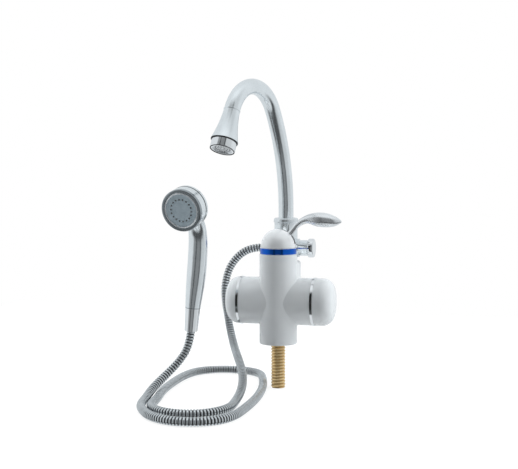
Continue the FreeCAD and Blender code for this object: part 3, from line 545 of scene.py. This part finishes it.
@dataclass(frozen=True)
class Studio:
    """Pale floor in a soft white tent whose light falls off towards the viewer's left."""

    floor_level: float = -64.2 * MM
    floor_half: float = 0.8
    floor_grey: float = 0.64
    floor_rough: float = 0.9
    floor_glow: float = 1.40
    floor_glow_share: float = 0.6
    viewer_yaw: float = 14.0
    dim_turn: float = -17.0
    dim_rise: float = -4.0
    # share of a direction towards the dim side, with the level that matt surfaces get from there
    soft: Stops = (
        (-1.0, 0.0), (-0.4, 1.9), (-0.05, 2.6), (0.2, 1.3), (0.48, 0.0), (1.0, 0.0))
    tint: Colour = (0.955, 1.0, 1.025)
    # level that metal shows behind the tap, and the shares of a direction towards the viewer
    # between which it gives way to the bands in front
    behind: float = 0.80
    behind_edges: tuple[float, float] = (-0.3, 0.25)
    # degrees to the viewer's right, with the level that metal shows there
    around: Stops = (
        (-180, 0.82), (-66, 0.80), (-54, 0.29), (-33, 0.27), (-31, 0.02), (-25, 0.02), (-23, 0.26),
        (14, 0.25), (19, 0.08), (24, 0.08), (30, 0.62), (75, 0.66), (100, 0.82), (180, 0.82))
    # degrees above the horizon, with the level that metal shows there
    upward: Stops = (
        (-90, 0.85), (-58, 0.80), (-52, 0.08), (-26, 0.08), (-20, 0.62), (0, 0.74), (35, 0.84),
        (90, 0.98))
    # degrees above the horizon, with the share of the levels around over those upward
    facing: Stops = (
        (-90, 0.0), (-36, 0.0), (-26, 1.0), (42, 1.0), (58, 0.25), (68, 0.0), (90, 0.0))

    def build(self) -> None:
        """Make the floor, the tent of light and the view settings."""
        bpy.context.scene.view_settings.view_transform = "Standard"
        self.floor()
        self.world()

    def floor(self) -> None:
        """Make the floor: white to the camera with a faint shadow, and clear to metal."""
        half, level = self.floor_half, self.floor_level
        mesh = bpy.data.meshes.new("floor")
        sides = ((-half, -half), (half, -half), (half, half), (-half, half))
        mesh.from_pydata([(x, y, level) for x, y in sides], [], [(0, 1, 2, 3)])
        floor = bpy.data.objects.new("floor", mesh)
        bpy.context.scene.collection.objects.link(floor)
        maker = NodeMaterial("pale_floor")
        grey = self.floor_grey
        maker.set(Base_Color=(grey, grey, grey, 1.0), Roughness=self.floor_rough)
        nodes, links = maker.nodes, maker.links
        path = nodes.new("ShaderNodeLightPath")
        glow = nodes.new("ShaderNodeEmission")
        clear = nodes.new("ShaderNodeBsdfTransparent")
        seen = nodes.new("ShaderNodeMixShader")
        mirrored = nodes.new("ShaderNodeMixShader")
        share = nodes.new("ShaderNodeMath")
        share.operation = "MULTIPLY"
        share.inputs[1].default_value = self.floor_glow_share
        glow.inputs["Strength"].default_value = self.floor_glow
        links.new(path.outputs["Is Camera Ray"], share.inputs[0])
        links.new(share.outputs["Value"], seen.inputs["Fac"])
        links.new(maker.shader.outputs["BSDF"], seen.inputs[1])
        links.new(glow.outputs["Emission"], seen.inputs[2])
        links.new(path.outputs["Is Glossy Ray"], mirrored.inputs["Fac"])
        links.new(seen.outputs["Shader"], mirrored.inputs[1])
        links.new(clear.outputs["BSDF"], mirrored.inputs[2])
        links.new(mirrored.outputs["Shader"], nodes["Material Output"].inputs["Surface"])
        mesh.materials.append(maker.material)

    @staticmethod
    def aim(turn: float, rise: float) -> Place:
        """Direction that is turned from the front to the right and raised, both in degrees."""
        turn, rise = math.radians(turn), math.radians(rise)
        return math.sin(turn) * math.cos(rise), -math.cos(turn) * math.cos(rise), math.sin(rise)

    def world(self) -> None:
        """Make the tent: soft light for matt surfaces, bands for metal, white to the camera."""
        tent = TentNodes("tent")
        front = tent.along(self.aim(self.viewer_yaw, 0))
        turn = tent.step("ARCTAN2", tent.along(self.aim(self.viewer_yaw + 90, 0)), front)
        rise = tent.step("ARCSINE", tent.along((0.0, 0.0, 1.0)))
        ahead = tent.mixed(tent.bands(rise, self.facing, QUARTER_TURN),
                           tent.bands(rise, self.upward, QUARTER_TURN),
                           tent.bands(turn, self.around, math.pi))
        behind = tent.nodes.new("ShaderNodeRGB").outputs["Color"]
        behind.default_value = (self.behind, self.behind, self.behind, 1.0)
        mirrored = tent.mixed(tent.fit(front, *self.behind_edges, 0.0, 1.0), behind, ahead)
        dim = tent.along(self.aim(self.viewer_yaw + self.dim_turn, self.dim_rise))
        soft = tent.bands(dim, self.soft, 1.0)
        path = tent.nodes.new("ShaderNodeLightPath")
        white = tent.nodes.new("ShaderNodeBackground")
        white.inputs["Color"].default_value = (1, 1, 1, 1)
        lit = tent.choose(path.outputs["Is Glossy Ray"], tent.light(soft, self.tint),
                          tent.light(mirrored, self.tint))
        whole = tent.choose(path.outputs["Is Camera Ray"], lit, white.outputs["Background"])
        tent.links.new(whole, tent.nodes["World Output"].inputs["Surface"])


def grid_mesh(name: str, grids: Points, capped: bool = False, looped: bool = False,
              crease: float = 35.0) -> bpy.types.Mesh:
    """Smooth quad surface through one grid of points or several alike, each round in its columns.

    Args:
        name: Mesh name.
        grids: Array of shape (rows, columns, 3) or (copies, rows, columns, 3) in metres.
        capped: Close the first and last row with a face.
        looped: Join the last row to the first one.
        crease: Edges sharper than this angle in degrees stay sharp.

    Returns:
        The mesh.
    """
    grids = grids.reshape(-1, *grids.shape[-3:])
    copies, rows, columns = grids.shape[:3]
    index = np.arange(copies * rows * columns).reshape(copies, rows, columns)
    beside = np.roll(index, -1, axis=2)
    above, across = np.roll(index, -1, axis=1), np.roll(beside, -1, axis=1)
    last = rows if looped else rows - 1
    faces = np.stack([index, beside, across, above], axis=-1)[:, :last].reshape(-1, 4).tolist()
    if capped:
        faces += index[:, 0, ::-1].tolist() + index[:, -1].tolist()
    mesh = bpy.data.meshes.new(name)
    mesh.from_pydata(grids.reshape(-1, 3).tolist(), [], faces)
    mesh.polygons.foreach_set("use_smooth", np.ones(len(mesh.polygons), dtype=bool))
    mesh.set_sharp_from_angle(angle=math.radians(crease))
    mesh.update()
    return mesh


def mark_groove_shade(mesh: bpy.types.Mesh, levels: Points) -> None:
    """Keep how deep each point of a mesh lies in its grooves, for the finish's painted groove
    shade.

    Args:
        mesh: The mesh.
        levels: Level of each point, 0 on the crests and 1 in the grooves.
    """
    groove = mesh.attributes.new(GROOVE_SHADE, "FLOAT", "POINT")
    groove.data.foreach_set("value", levels.ravel())


@dataclass(frozen=True)
class Axes:
    """Place of a turned piece: its origin in metres and its three unit axes."""

    origin: Points = field(default_factory=lambda: np.zeros(3))
    x: Points = field(default_factory=lambda: np.array((1.0, 0.0, 0.0)))
    y: Points = field(default_factory=lambda: np.array((0.0, 1.0, 0.0)))
    z: Points = field(default_factory=lambda: np.array((0.0, 0.0, 1.0)))

    def turned(self, radii: Points, heights: Points, columns: int = 96) -> Points:
        """Grid of a turned surface: p(i, a) = o + r_i(a) (cos a x + sin a y) + h_i z.

        Args:
            radii: Radius of each row, or of each row and column, in millimetres.
            heights: Height of each row along z, in millimetres.
            columns: Columns round the axis.

        Returns:
            Array of shape (rows, columns, 3) in metres.
        """
        angle = np.linspace(0.0, FULL_TURN, columns, endpoint=False)
        ring = np.cos(angle)[:, None] * self.x + np.sin(angle)[:, None] * self.y
        rows = np.asarray(radii, float).reshape(len(heights), -1)
        wide = np.broadcast_to(rows, (len(heights), columns))
        tall = np.asarray(heights, float)[:, None, None] * self.z
        return self.origin + (wide[:, :, None] * ring + tall) * MM

    def ring(self, inner: float, outer: float, foot: float, top: float, edge: float,
             edge_rows: int = 5) -> Points:
        """Grid of a square ring with rounded outer edges, as a closed profile.

        Args:
            inner: Inner radius.
            outer: Outer radius.
            foot: Height of its foot.
            top: Height of its top.
            edge: Radius of its outer edges.
            edge_rows: Rows over each outer edge.

        Returns:
            Array of shape (rows, columns, 3) in metres, to be looped.
        """
        turn = np.linspace(0.0, QUARTER_TURN, edge_rows)
        cosine, sine = edge * np.cos(turn), edge * np.sin(turn)
        radii = np.concatenate([[inner], outer - edge + sine, outer - edge + cosine, [inner]])
        heights = np.concatenate([[foot], foot + edge - cosine, top - edge + sine, [top]])
        return self.turned(radii, heights)

    def moved(self, spots: Points) -> Points:
        """Points of this frame, in millimetres, in the row frame: p = o + u x + v y + w z."""
        return self.origin + spots @ np.stack([self.x, self.y, self.z]) * MM


def side_axes(path: Points) -> tuple[Points, Points]:
    """Two steady side axes along a path that starts level, carried on without twist.

    Args:
        path: Points of the path.

    Returns:
        First side axes and second side axes.
    """
    tangents = np.gradient(path, axis=0)
    tangents /= np.linalg.norm(tangents, axis=1, keepdims=True)
    side = np.cross(tangents[0], (0.0, 0.0, 1.0))
    sides = np.empty_like(path)
    for number, tangent in enumerate(tangents):
        side = side - tangent * np.dot(side, tangent)
        side = side / np.linalg.norm(side)
        sides[number] = side
    return sides, np.cross(tangents, sides)


def tube(path: Points, radii: Points, columns: int) -> Points:
    """Grid of a round tube: p(i, a) = c_i + r_i (cos a u_i + sin a v_i).

    Args:
        path: Centre points c.
        radii: Radius at each centre.
        columns: Columns round the tube.

    Returns:
        Array of shape (centres, columns, 3).
    """
    first, second = side_axes(path)
    angle = np.linspace(0.0, FULL_TURN, columns, endpoint=False)[None, :, None]
    ring = np.cos(angle) * first[:, None, :] + np.sin(angle) * second[:, None, :]
    return path[:, None, :] + radii[:, None, None] * ring


@dataclass(frozen=True)
class ThreadedShank:
    """Brass stud under the body, with its thread cut and its flange inside, in millimetres."""

    major: float = 10.48
    depth: float = 1.35
    pitch: float = 4.4
    flank: float = 3.2
    crest: float = 0.3
    length: float = 64.0
    lead: float = 1.0
    runout: float = 3.0
    bore: float = 7.0
    neck: float = 12.5
    flange: float = 16.0
    seat: float = 3.0
    top: float = 7.0
    steps: int = 8
    columns: int = 64
    crease: float = 50.0

    def thread(self) -> tuple[Points, Points]:
        """Thread: r(z, a) = R - d w(z / p - a / 2 pi), with w(t) = k |t - 1/2| - c within 0 to 1.

        It runs out towards the neck, and its free end is chamfered.

        Returns:
            Radii by row and column, and the rows' heights.
        """
        heights = np.linspace(-self.length, 0.0, round(self.length / self.pitch * self.steps) + 1)
        share = np.arange(self.columns) / self.columns
        phase = (heights[:, None] / self.pitch - share[None, :]) % 1.0
        wave = np.clip(self.flank * np.abs(phase - 0.5) - self.crest, 0.0, 1.0)
        fade = np.clip(-heights / self.runout, 0.0, 1.0)[:, None]
        chamfer = self.major - self.lead + (heights + self.length)[:, None]
        return np.minimum(self.major - self.depth * wave * fade, chamfer), heights

    def build(self, shop: Workshop) -> list[bpy.types.Object]:
        """Make the stud as one closed turned grid: thread, neck, flange and bore.

        Args:
            shop: Where pieces are made.

        Returns:
            The piece.
        """
        outside, heights = self.thread()
        radii = np.array((self.neck, self.neck, self.flange, self.flange, self.bore, self.bore))
        levels = np.array((0.0, self.seat, self.seat, self.top, self.top, -self.length))
        radii = np.vstack([outside, np.repeat(radii[:, None], self.columns, axis=1)])
        grid = Axes().turned(radii, np.concatenate([heights, levels]), self.columns)
        name = "threaded_shank_look"
        mesh = grid_mesh(name, grid, looped=True, crease=self.crease)
        # painted shade in the thread's grooves, darkest where the cut is deepest
        cut = np.clip((self.major - radii) / self.depth, 0.0, 1.0)
        mark_groove_shade(mesh, cut * (radii > self.bore))
        return [shop.link(mesh, name, BRASS, Body.BASE, Slot.BRASS, ("threaded_shank",))]


@dataclass(frozen=True)
class RingBand:
    """Blue band under the dome between two pale lips, in millimetres."""

    foot: float = 128.5
    height: float = 9.7
    radius: float = 26.5
    bore: float = 22.0
    lip: float = 0.7
    lip_edge: float = 0.35
    lip_inset: float = 1.0
    bulge: float = 0.25
    sink: float = 0.35
    gap: float = 0.05
    rows: int = 9

    def build(self, shop: Workshop) -> list[bpy.types.Object]:
        """Make the band, bowed by b sin(pi t) over its height, and the lips.

        Args:
            shop: Where pieces are made.

        Returns:
            The band and its two lips.
        """
        axes, top = Axes(), self.foot + self.height
        share = np.linspace(0.0, 1.0, self.rows)
        rise = self.foot + self.gap + (self.height - 2.0 * self.gap) * share
        bowed = self.radius - self.sink + self.bulge * np.sin(math.pi * share)
        grid = axes.turned(np.concatenate([[self.bore], bowed, [self.bore]]),
                           np.concatenate([rise[:1], rise, rise[-1:]]))
        name = "light_ring_look"
        pieces = [shop.link(grid_mesh(name, grid, looped=True), name, BLUE, Body.BASE, Slot.BLUE,
                            ("light_ring",))]
        for name, foot in (("ring_lower_lip", self.foot), ("ring_upper_lip", top - self.lip)):
            grid = axes.ring(self.bore + self.lip_inset, self.radius, foot, foot + self.lip,
                             self.lip_edge)
            mesh = grid_mesh(name, grid, looped=True)
            pieces.append(shop.link(mesh, name, PEARL, Body.BASE, Slot.CHROME))
        return pieces


@dataclass(frozen=True)
class DomeTrim:
    """Fine beads round the dome's foot and the small plug at its top, in millimetres."""

    foot: float = 138.5
    rim: float = 1.0
    radius: float = 25.3
    bead: float = 0.32
    bead_sink: float = 0.45
    bead_rows: int = 8
    beads: Sequence[float] = (1.2, 2.6, 4.0)
    plug: float = 2.6
    plug_foot: float = 1.0
    plug_sink: float = 0.2
    plug_rise: float = 0.5
    plug_rows: int = 6
    plug_columns: int = 32

    def build(self, shop: Workshop) -> list[bpy.types.Object]:
        """Make the beads, circles of radius b about the dome's surface points, and the plug.

        The plug is a shallow cap of radius r cos t and height h sin t.

        Args:
            shop: Where pieces are made.

        Returns:
            The beads as one piece, and the plug.
        """
        axes = Axes()
        turn = np.linspace(0.0, FULL_TURN, self.bead_rows, endpoint=False)
        cosine, sine = self.bead * np.cos(turn), self.bead * np.sin(turn)
        up = np.asarray(self.beads)
        out = np.sqrt(self.radius ** 2 - (up - self.rim) ** 2) - self.bead * self.bead_sink
        rings = np.stack([axes.turned(wide + cosine, self.foot + rise + sine)
                          for wide, rise in zip(out, up)])
        beads = grid_mesh("dome_beads", rings, looped=True)
        swing = np.linspace(0.0, QUARTER_TURN, self.plug_rows + 1)[:-1]
        crown = self.foot + self.rim + self.radius
        radii = np.concatenate([[self.plug], self.plug * np.cos(swing)])
        heights = np.concatenate([[crown - self.plug_foot],
                                  crown - self.plug_sink + self.plug_rise * np.sin(swing)])
        plug = grid_mesh("dome_plug", axes.turned(radii, heights, self.plug_columns), capped=True)
        return [shop.link(beads, "dome_beads", PEARL, Body.HANDLE, Slot.CHROME),
                shop.link(plug, "dome_plug", DARK, Body.HANDLE, Slot.CHROME)]


@dataclass(frozen=True)
class NozzleTrim:
    """Black washer and seal at the nozzle's mouth and the band above, in millimetres."""

    foot: Place = (0.0, 50.0, 168.3)
    heading: float = 18.0
    straight: float = 22.0
    sway_radius: float = 288.0
    sway_angle: float = 30.3
    arch_radius: float = 59.0
    arch_angle: float = 125.6
    # inner and outer radius, foot and top along the water's way out, and the outer edges' radius
    washer: tuple[float, float, float, float, float] = (17.0, 18.5, 45.6, 47.0, 0.4)
    seal: tuple[float, float, float, float, float] = (15.9, 17.1, 58.5, 59.2, 0.25)
    band: tuple[float, float, float, float, float] = (10.8, 11.6, -0.6, 0.9, 0.3)

    def axes(self) -> Axes:
        """Frame at the spout's end: the upright, then the gentle bend, then the arch.

        Returns:
            Axes with z along the water's way out.
        """
        lean = math.radians(self.sway_angle)
        final = lean + math.radians(self.arch_angle)
        out = (self.sway_radius * (1.0 - math.cos(lean))
               + self.arch_radius * (math.cos(lean) - math.cos(final)))
        up = (self.straight + self.sway_radius * math.sin(lean)
              + self.arch_radius * (math.sin(final) - math.sin(lean)))
        turn = math.radians(self.heading)
        ahead = np.array((-math.sin(turn), -math.cos(turn), 0.0))
        rise = np.array((0.0, 0.0, 1.0))
        side = np.cross(rise, ahead)
        aim = ahead * math.sin(final) + rise * math.cos(final)
        end = (np.array(self.foot) + ahead * out + rise * up) * MM
        return Axes(end, side, np.cross(aim, side), aim)

    def build(self, shop: Workshop) -> list[bpy.types.Object]:
        """Make the three rings.

        Args:
            shop: Where pieces are made.

        Returns:
            The pieces.
        """
        axes = self.axes()
        rings = (("nozzle_washer", self.washer, RUBBER, Slot.RUBBER),
                 ("aerator_seal", self.seal, RUBBER, Slot.RUBBER),
                 ("nozzle_band", self.band, SOFT_CHROME, Slot.CHROME))
        return [shop.link(grid_mesh(name, axes.ring(*sizes), looped=True), name, finish,
                          Body.SPOUT, slot) for name, sizes, finish, slot in rings]


@dataclass(frozen=True)
class SprayFace:
    """Bright ring and nubs of the spray plate, head's seam and grip's ring, in millimetres."""

    hose_end: Place = (-106.0, -80.0, 26.0)
    tilt: float = 5.0
    turn: float = -7.5
    head: Place = (0.0, -30.0, 177.9)
    nod: float = 14.0
    plate: float = 34.0
    ring: float = 23.4
    ring_section: float = 1.0
    ring_rows: int = 10
    nubs: int = 18
    nub_circle: float = 15.0
    nub: float = 1.25
    nub_height: float = 0.9
    nub_sink: float = 0.3
    nub_swing: float = 0.9
    nub_rows: int = 5
    nub_columns: int = 12
    shell: float = 28.9
    # depth below and height above the shell or grip, foot and top, and the outer edges' radius
    seam: tuple[float, float, float, float, float] = (1.0, 0.06, 16.2, 18.2, 0.05)
    ferrule: float = 32.0
    ferrule_radius: float = 10.5
    grip_ring: tuple[float, float, float, float, float] = (2.0, 0.05, -0.25, 0.85, 0.2)

    def grip_axes(self) -> Axes:
        """Frame of the hand shower at the hose's end: turned about its axis, then tilted right.

        Returns:
            Axes with z up the grip.
        """
        tilt, turn = math.radians(self.tilt), math.radians(self.turn)
        lean = np.array(((math.cos(tilt), 0.0, math.sin(tilt)),
                         (0.0, 1.0, 0.0),
                         (-math.sin(tilt), 0.0, math.cos(tilt))))
        spin = np.array(((math.cos(turn), -math.sin(turn), 0.0),
                         (math.sin(turn), math.cos(turn), 0.0),
                         (0.0, 0.0, 1.0)))
        x, y, z = (lean @ spin).T
        return Axes(np.array(self.hose_end) * MM, x, y, z)

    def head_axes(self) -> Axes:
        """Frame of the shower head at the back of its shell, nodding forwards and down.

        Returns:
            Axes with z along the spray.
        """
        grip, nod = self.grip_axes(), math.radians(90.0 + self.nod)
        rise = grip.y * math.cos(nod) + grip.z * math.sin(nod)
        spray = grip.z * math.cos(nod) - grip.y * math.sin(nod)
        return Axes(grip.moved(np.array(self.head)), grip.x, rise, spray)

    def nub_grids(self, axes: Axes) -> Points:
        """Nubs: domes of radius r cos t and height h sin t about points of a circle.

        Args:
            axes: Frame of the head.

        Returns:
            Array of shape (nubs, rows, columns, 3).
        """
        swing = np.linspace(0.0, QUARTER_TURN * self.nub_swing, self.nub_rows)
        radii = np.concatenate([[self.nub], self.nub * np.cos(swing)])
        heights = np.concatenate([[-self.nub_sink], self.nub_height * np.sin(swing)]) + self.plate
        dome = axes.turned(radii, heights, self.nub_columns)
        angle = FULL_TURN * np.arange(self.nubs) / self.nubs
        spots = np.stack([np.cos(angle), np.sin(angle), np.zeros_like(angle)], axis=1)
        shift = axes.moved(self.nub_circle * spots) - axes.origin
        return dome[None] + shift[:, None, None, :]

    def build(self, shop: Workshop) -> list[bpy.types.Object]:
        """Make the bright ring, a circle of radius s swept round the plate, and the rest.

        Args:
            shop: Where pieces are made.

        Returns:
            The pieces.
        """
        axes = self.head_axes()
        swing = np.linspace(0.0, FULL_TURN, self.ring_rows, endpoint=False)
        bright = axes.turned(self.ring + self.ring_section * np.cos(swing),
                             self.plate + self.ring_section * np.sin(swing))
        below, above, foot, top, edge = self.seam
        seam = axes.ring(self.shell - below, self.shell + above, foot, top, edge)
        below, above, foot, top, edge = self.grip_ring
        low = self.grip_axes().ring(self.ferrule_radius - below, self.ferrule_radius + above,
                                    self.ferrule + foot, self.ferrule + top, edge)
        rows = (("spray_bright_ring", bright, RIM, Slot.CHROME, True),
                ("spray_nubs", self.nub_grids(axes), NUB, Slot.RUBBER, False),
                ("head_seam", seam, RUBBER, Slot.BEZEL, True),
                ("grip_ring", low, DARK, Slot.BEZEL, True))
        return [shop.link(grid_mesh(name, grid, capped=not looped, looped=looped), name, finish,
                          Body.HANDSET, slot) for name, grid, finish, slot, looped in rows]


@dataclass(frozen=True)
class ShowerHose:
    """Wound metal hose on the photographed lie, from the hose nut to the hand shower's ferrule."""

    diameter: float = 12 * MM
    groove: float = 1.35 * MM
    pitch: float = 4.2 * MM
    crest: float = 1.8
    # how fast the painted shade deepens from the crests into the grooves
    shade: float = 2.2
    steps: int = 8
    columns: int = 24
    crease: float = 75.0
    resolution: int = 24
    # the route's points in millimetres, where None is the height of the hose's centre on the floor
    floor: float = -58.0
    route: Sequence[tuple[float, float, float | None]] = (
        (-26, 50, 134), (-48, 50, 134), (-70, 52, 124), (-87, 54, 104), (-94, 54, 80),
        (-95, 54, 58), (-89, 54, 20), (-75, 31, -10), (-58, -11, -19), (-43, -46, -28),
        (-31, -79, -39), (-27, -108, -51), (-27, -138, None), (-24, -176, None), (-39, -209, None),
        (-71, -225, None), (-107, -217, None), (-130, -188, None), (-134, -144, None),
        (-145, -91, None), (-149, -31, None), (-149, 22, None), (-140, 62, None), (-111, 84, None),
        (-72, 85, None), (-41, 64, None), (-27, 19, None), (-13, -40, None), (-5, -105, None),
        (-4, -169, None), (-7, -225, None), (-30, -257, None), (-70, -265, None),
        (-107, -247, None), (-132, -210, None), (-144, -182, None), (-147, -154, -56),
        (-147, -126, -48), (-138, -102, -36), (-123, -87, -19), (-109, -80, 3.1), (-106, -80, 26))

    def line(self) -> Points:
        """Points read from the route's NURBS spline.

        Returns:
            Points along the smooth line, in metres.
        """
        data = bpy.data.curves.new("hose_route", "CURVE")
        data.dimensions = "3D"
        data.resolution_u = self.resolution
        spline = data.splines.new("NURBS")
        spline.points.add(len(self.route) - 1)
        spots = [(x * MM, y * MM, (self.floor if z is None else z) * MM, 1.0)
                 for x, y, z in self.route]
        spline.points.foreach_set("co", np.array(spots).ravel())
        spline.order_u = 3
        spline.use_endpoint_u = True
        holder = bpy.data.objects.new("hose_route", data)
        bpy.context.scene.collection.objects.link(holder)
        mesh = bpy.data.meshes.new_from_object(holder)
        points = np.empty(len(mesh.vertices) * 3)
        mesh.vertices.foreach_get("co", points)
        bpy.data.objects.remove(holder)
        bpy.data.meshes.remove(mesh)
        bpy.data.curves.remove(data)
        return points.reshape(-1, 3)

    def build(self, shop: Workshop) -> tuple[bpy.types.Object, Points, float]:
        """Make the hose: r(s) = R - g (1 - w), with w = k (1 - cos(2 pi s / p)) / 2 cut at 1.

        Args:
            shop: Where pieces are made.

        Returns:
            The hose, the points that it follows and its length.
        """
        line = self.line()
        walked = np.concatenate([[0.0], np.cumsum(np.linalg.norm(np.diff(line, axis=0), axis=1))])
        length = float(walked[-1])
        ribs = round(length / self.pitch)
        stations = np.linspace(0.0, length, ribs * self.steps + 1)
        path = np.stack([np.interp(stations, walked, line[:, axis]) for axis in range(3)], axis=1)
        phase = FULL_TURN * np.arange(len(stations)) / self.steps
        wave = np.clip(self.crest * (0.5 - 0.5 * np.cos(phase)), 0.0, 1.0)
        radii = self.diameter / 2.0 - self.groove * (1.0 - wave)
        name = "shower_hose_look"
        grid = tube(path, radii, self.columns)
        mesh = grid_mesh(name, grid, capped=True, crease=self.crease)
        # painted shade in the grooves between the ribs
        mark_groove_shade(mesh, np.repeat(np.minimum(1.0, self.shade * (1.0 - wave)), self.columns))
        piece = shop.link(mesh, name, HOSE, Body.BASE, Slot.HOSE, ("shower_hose",))
        return piece, line, length


@dataclass(frozen=True)
class Dressing:
    """Finish, body and slot of every CAD node that keeps its own shape."""

    plain: Sequence[tuple[str, Finish, Body, Slot]] = (
        ("tap_housing", WHITE, Body.BASE, Slot.WHITE),
        ("left_end_cap", WHITE, Body.BASE, Slot.WHITE),
        ("right_end_cap", WHITE, Body.BASE, Slot.WHITE),
        ("left_trim_ring", TRIM, Body.BASE, Slot.CHROME),
        ("right_trim_ring", TRIM, Body.BASE, Slot.CHROME),
        ("inlet_tube", PIPE, Body.BASE, Slot.PIPE),
        ("outlet_tube", PIPE, Body.BASE, Slot.PIPE),
        ("heater_tank", STEEL, Body.BASE, Slot.STEEL),
        ("tank_cover", STEEL, Body.BASE, Slot.STEEL),
        ("heating_element", STEEL, Body.BASE, Slot.STEEL),
        ("thermal_cutout", PIPE, Body.BASE, Slot.PIPE),
        ("control_board", BOARD, Body.BASE, Slot.BOARD),
        ("flow_switch", PIPE, Body.BASE, Slot.PIPE),
        ("cable_gland", RUBBER, Body.BASE, Slot.RUBBER),
        ("cartridge_body", PIPE, Body.BASE, Slot.PIPE),
        ("cartridge_nut", BRASS, Body.BASE, Slot.BRASS),
        ("diverter_tee", SOFT_CHROME, Body.BASE, Slot.CHROME),
        ("hose_nut", CHROME, Body.BASE, Slot.CHROME),
        ("spout_collar", CAST_CHROME, Body.BASE, Slot.CHROME),
        ("hose_ferrule", CHROME, Body.BASE, Slot.CHROME),
        ("dome_cap", PEARL, Body.HANDLE, Slot.CHROME),
        ("cartridge_stem", BRASS, Body.HANDLE, Slot.BRASS),
        ("lever_pin", STEEL, Body.HANDLE, Slot.STEEL),
        ("lever_handle", LEVER_CHROME, Body.LEVER, Slot.CHROME),
        ("spout_tube", SOFT_CHROME, Body.SPOUT, Slot.CHROME),
        ("spout_seals", RUBBER, Body.SPOUT, Slot.RUBBER),
        ("spout_nozzle", SOFT_CHROME, Body.SPOUT, Slot.CHROME),
        ("aerator_housing", CHROME, Body.SPOUT, Slot.CHROME),
        ("aerator_screen", SCREEN, Body.SPOUT, Slot.SCREEN),
        ("diverter_knob", CHROME, Body.DIVERTER, Slot.CHROME),
        ("diverter_stem", BRASS, Body.DIVERTER, Slot.BRASS),
        ("handset_body", SOFT_CHROME, Body.HANDSET, Slot.CHROME),
        ("handset_bezel", DARK, Body.HANDSET, Slot.BEZEL),
        ("spray_plate", PLATE, Body.HANDSET, Slot.PLATE),
    )

    def build(self, shop: Workshop) -> dict[str, bpy.types.Object]:
        """Dress the nodes.

        Args:
            shop: Where pieces are made.

        Returns:
            The new pieces by node.
        """
        return {node: shop.smooth_copy(node, finish, body, slot)
                for node, finish, body, slot in self.plain}


def report(piece: bpy.types.Object) -> None:
    """Log a piece's name and its count of faces."""
    LOG.info("%s: %d faces", piece.name, len(piece.data.polygons))


def main() -> None:
    """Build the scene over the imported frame."""
    logging.basicConfig(level=logging.INFO)
    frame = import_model()
    shop = Workshop(frame["nodes"])
    PhotoCamera().build()
    hose, line, length = ShowerHose().build(shop)
    report(hose)
    LOG.info("hose length %.3f m", length)
    Studio().build()
    pieces = Dressing().build(shop)
    for maker in (ThreadedShank(), RingBand(), DomeTrim(), NozzleTrim(), SprayFace()):
        for piece in maker.build(shop):
            report(piece)
    for piece in pieces.values():
        report(piece)


if __name__ == "__main__":
    main()
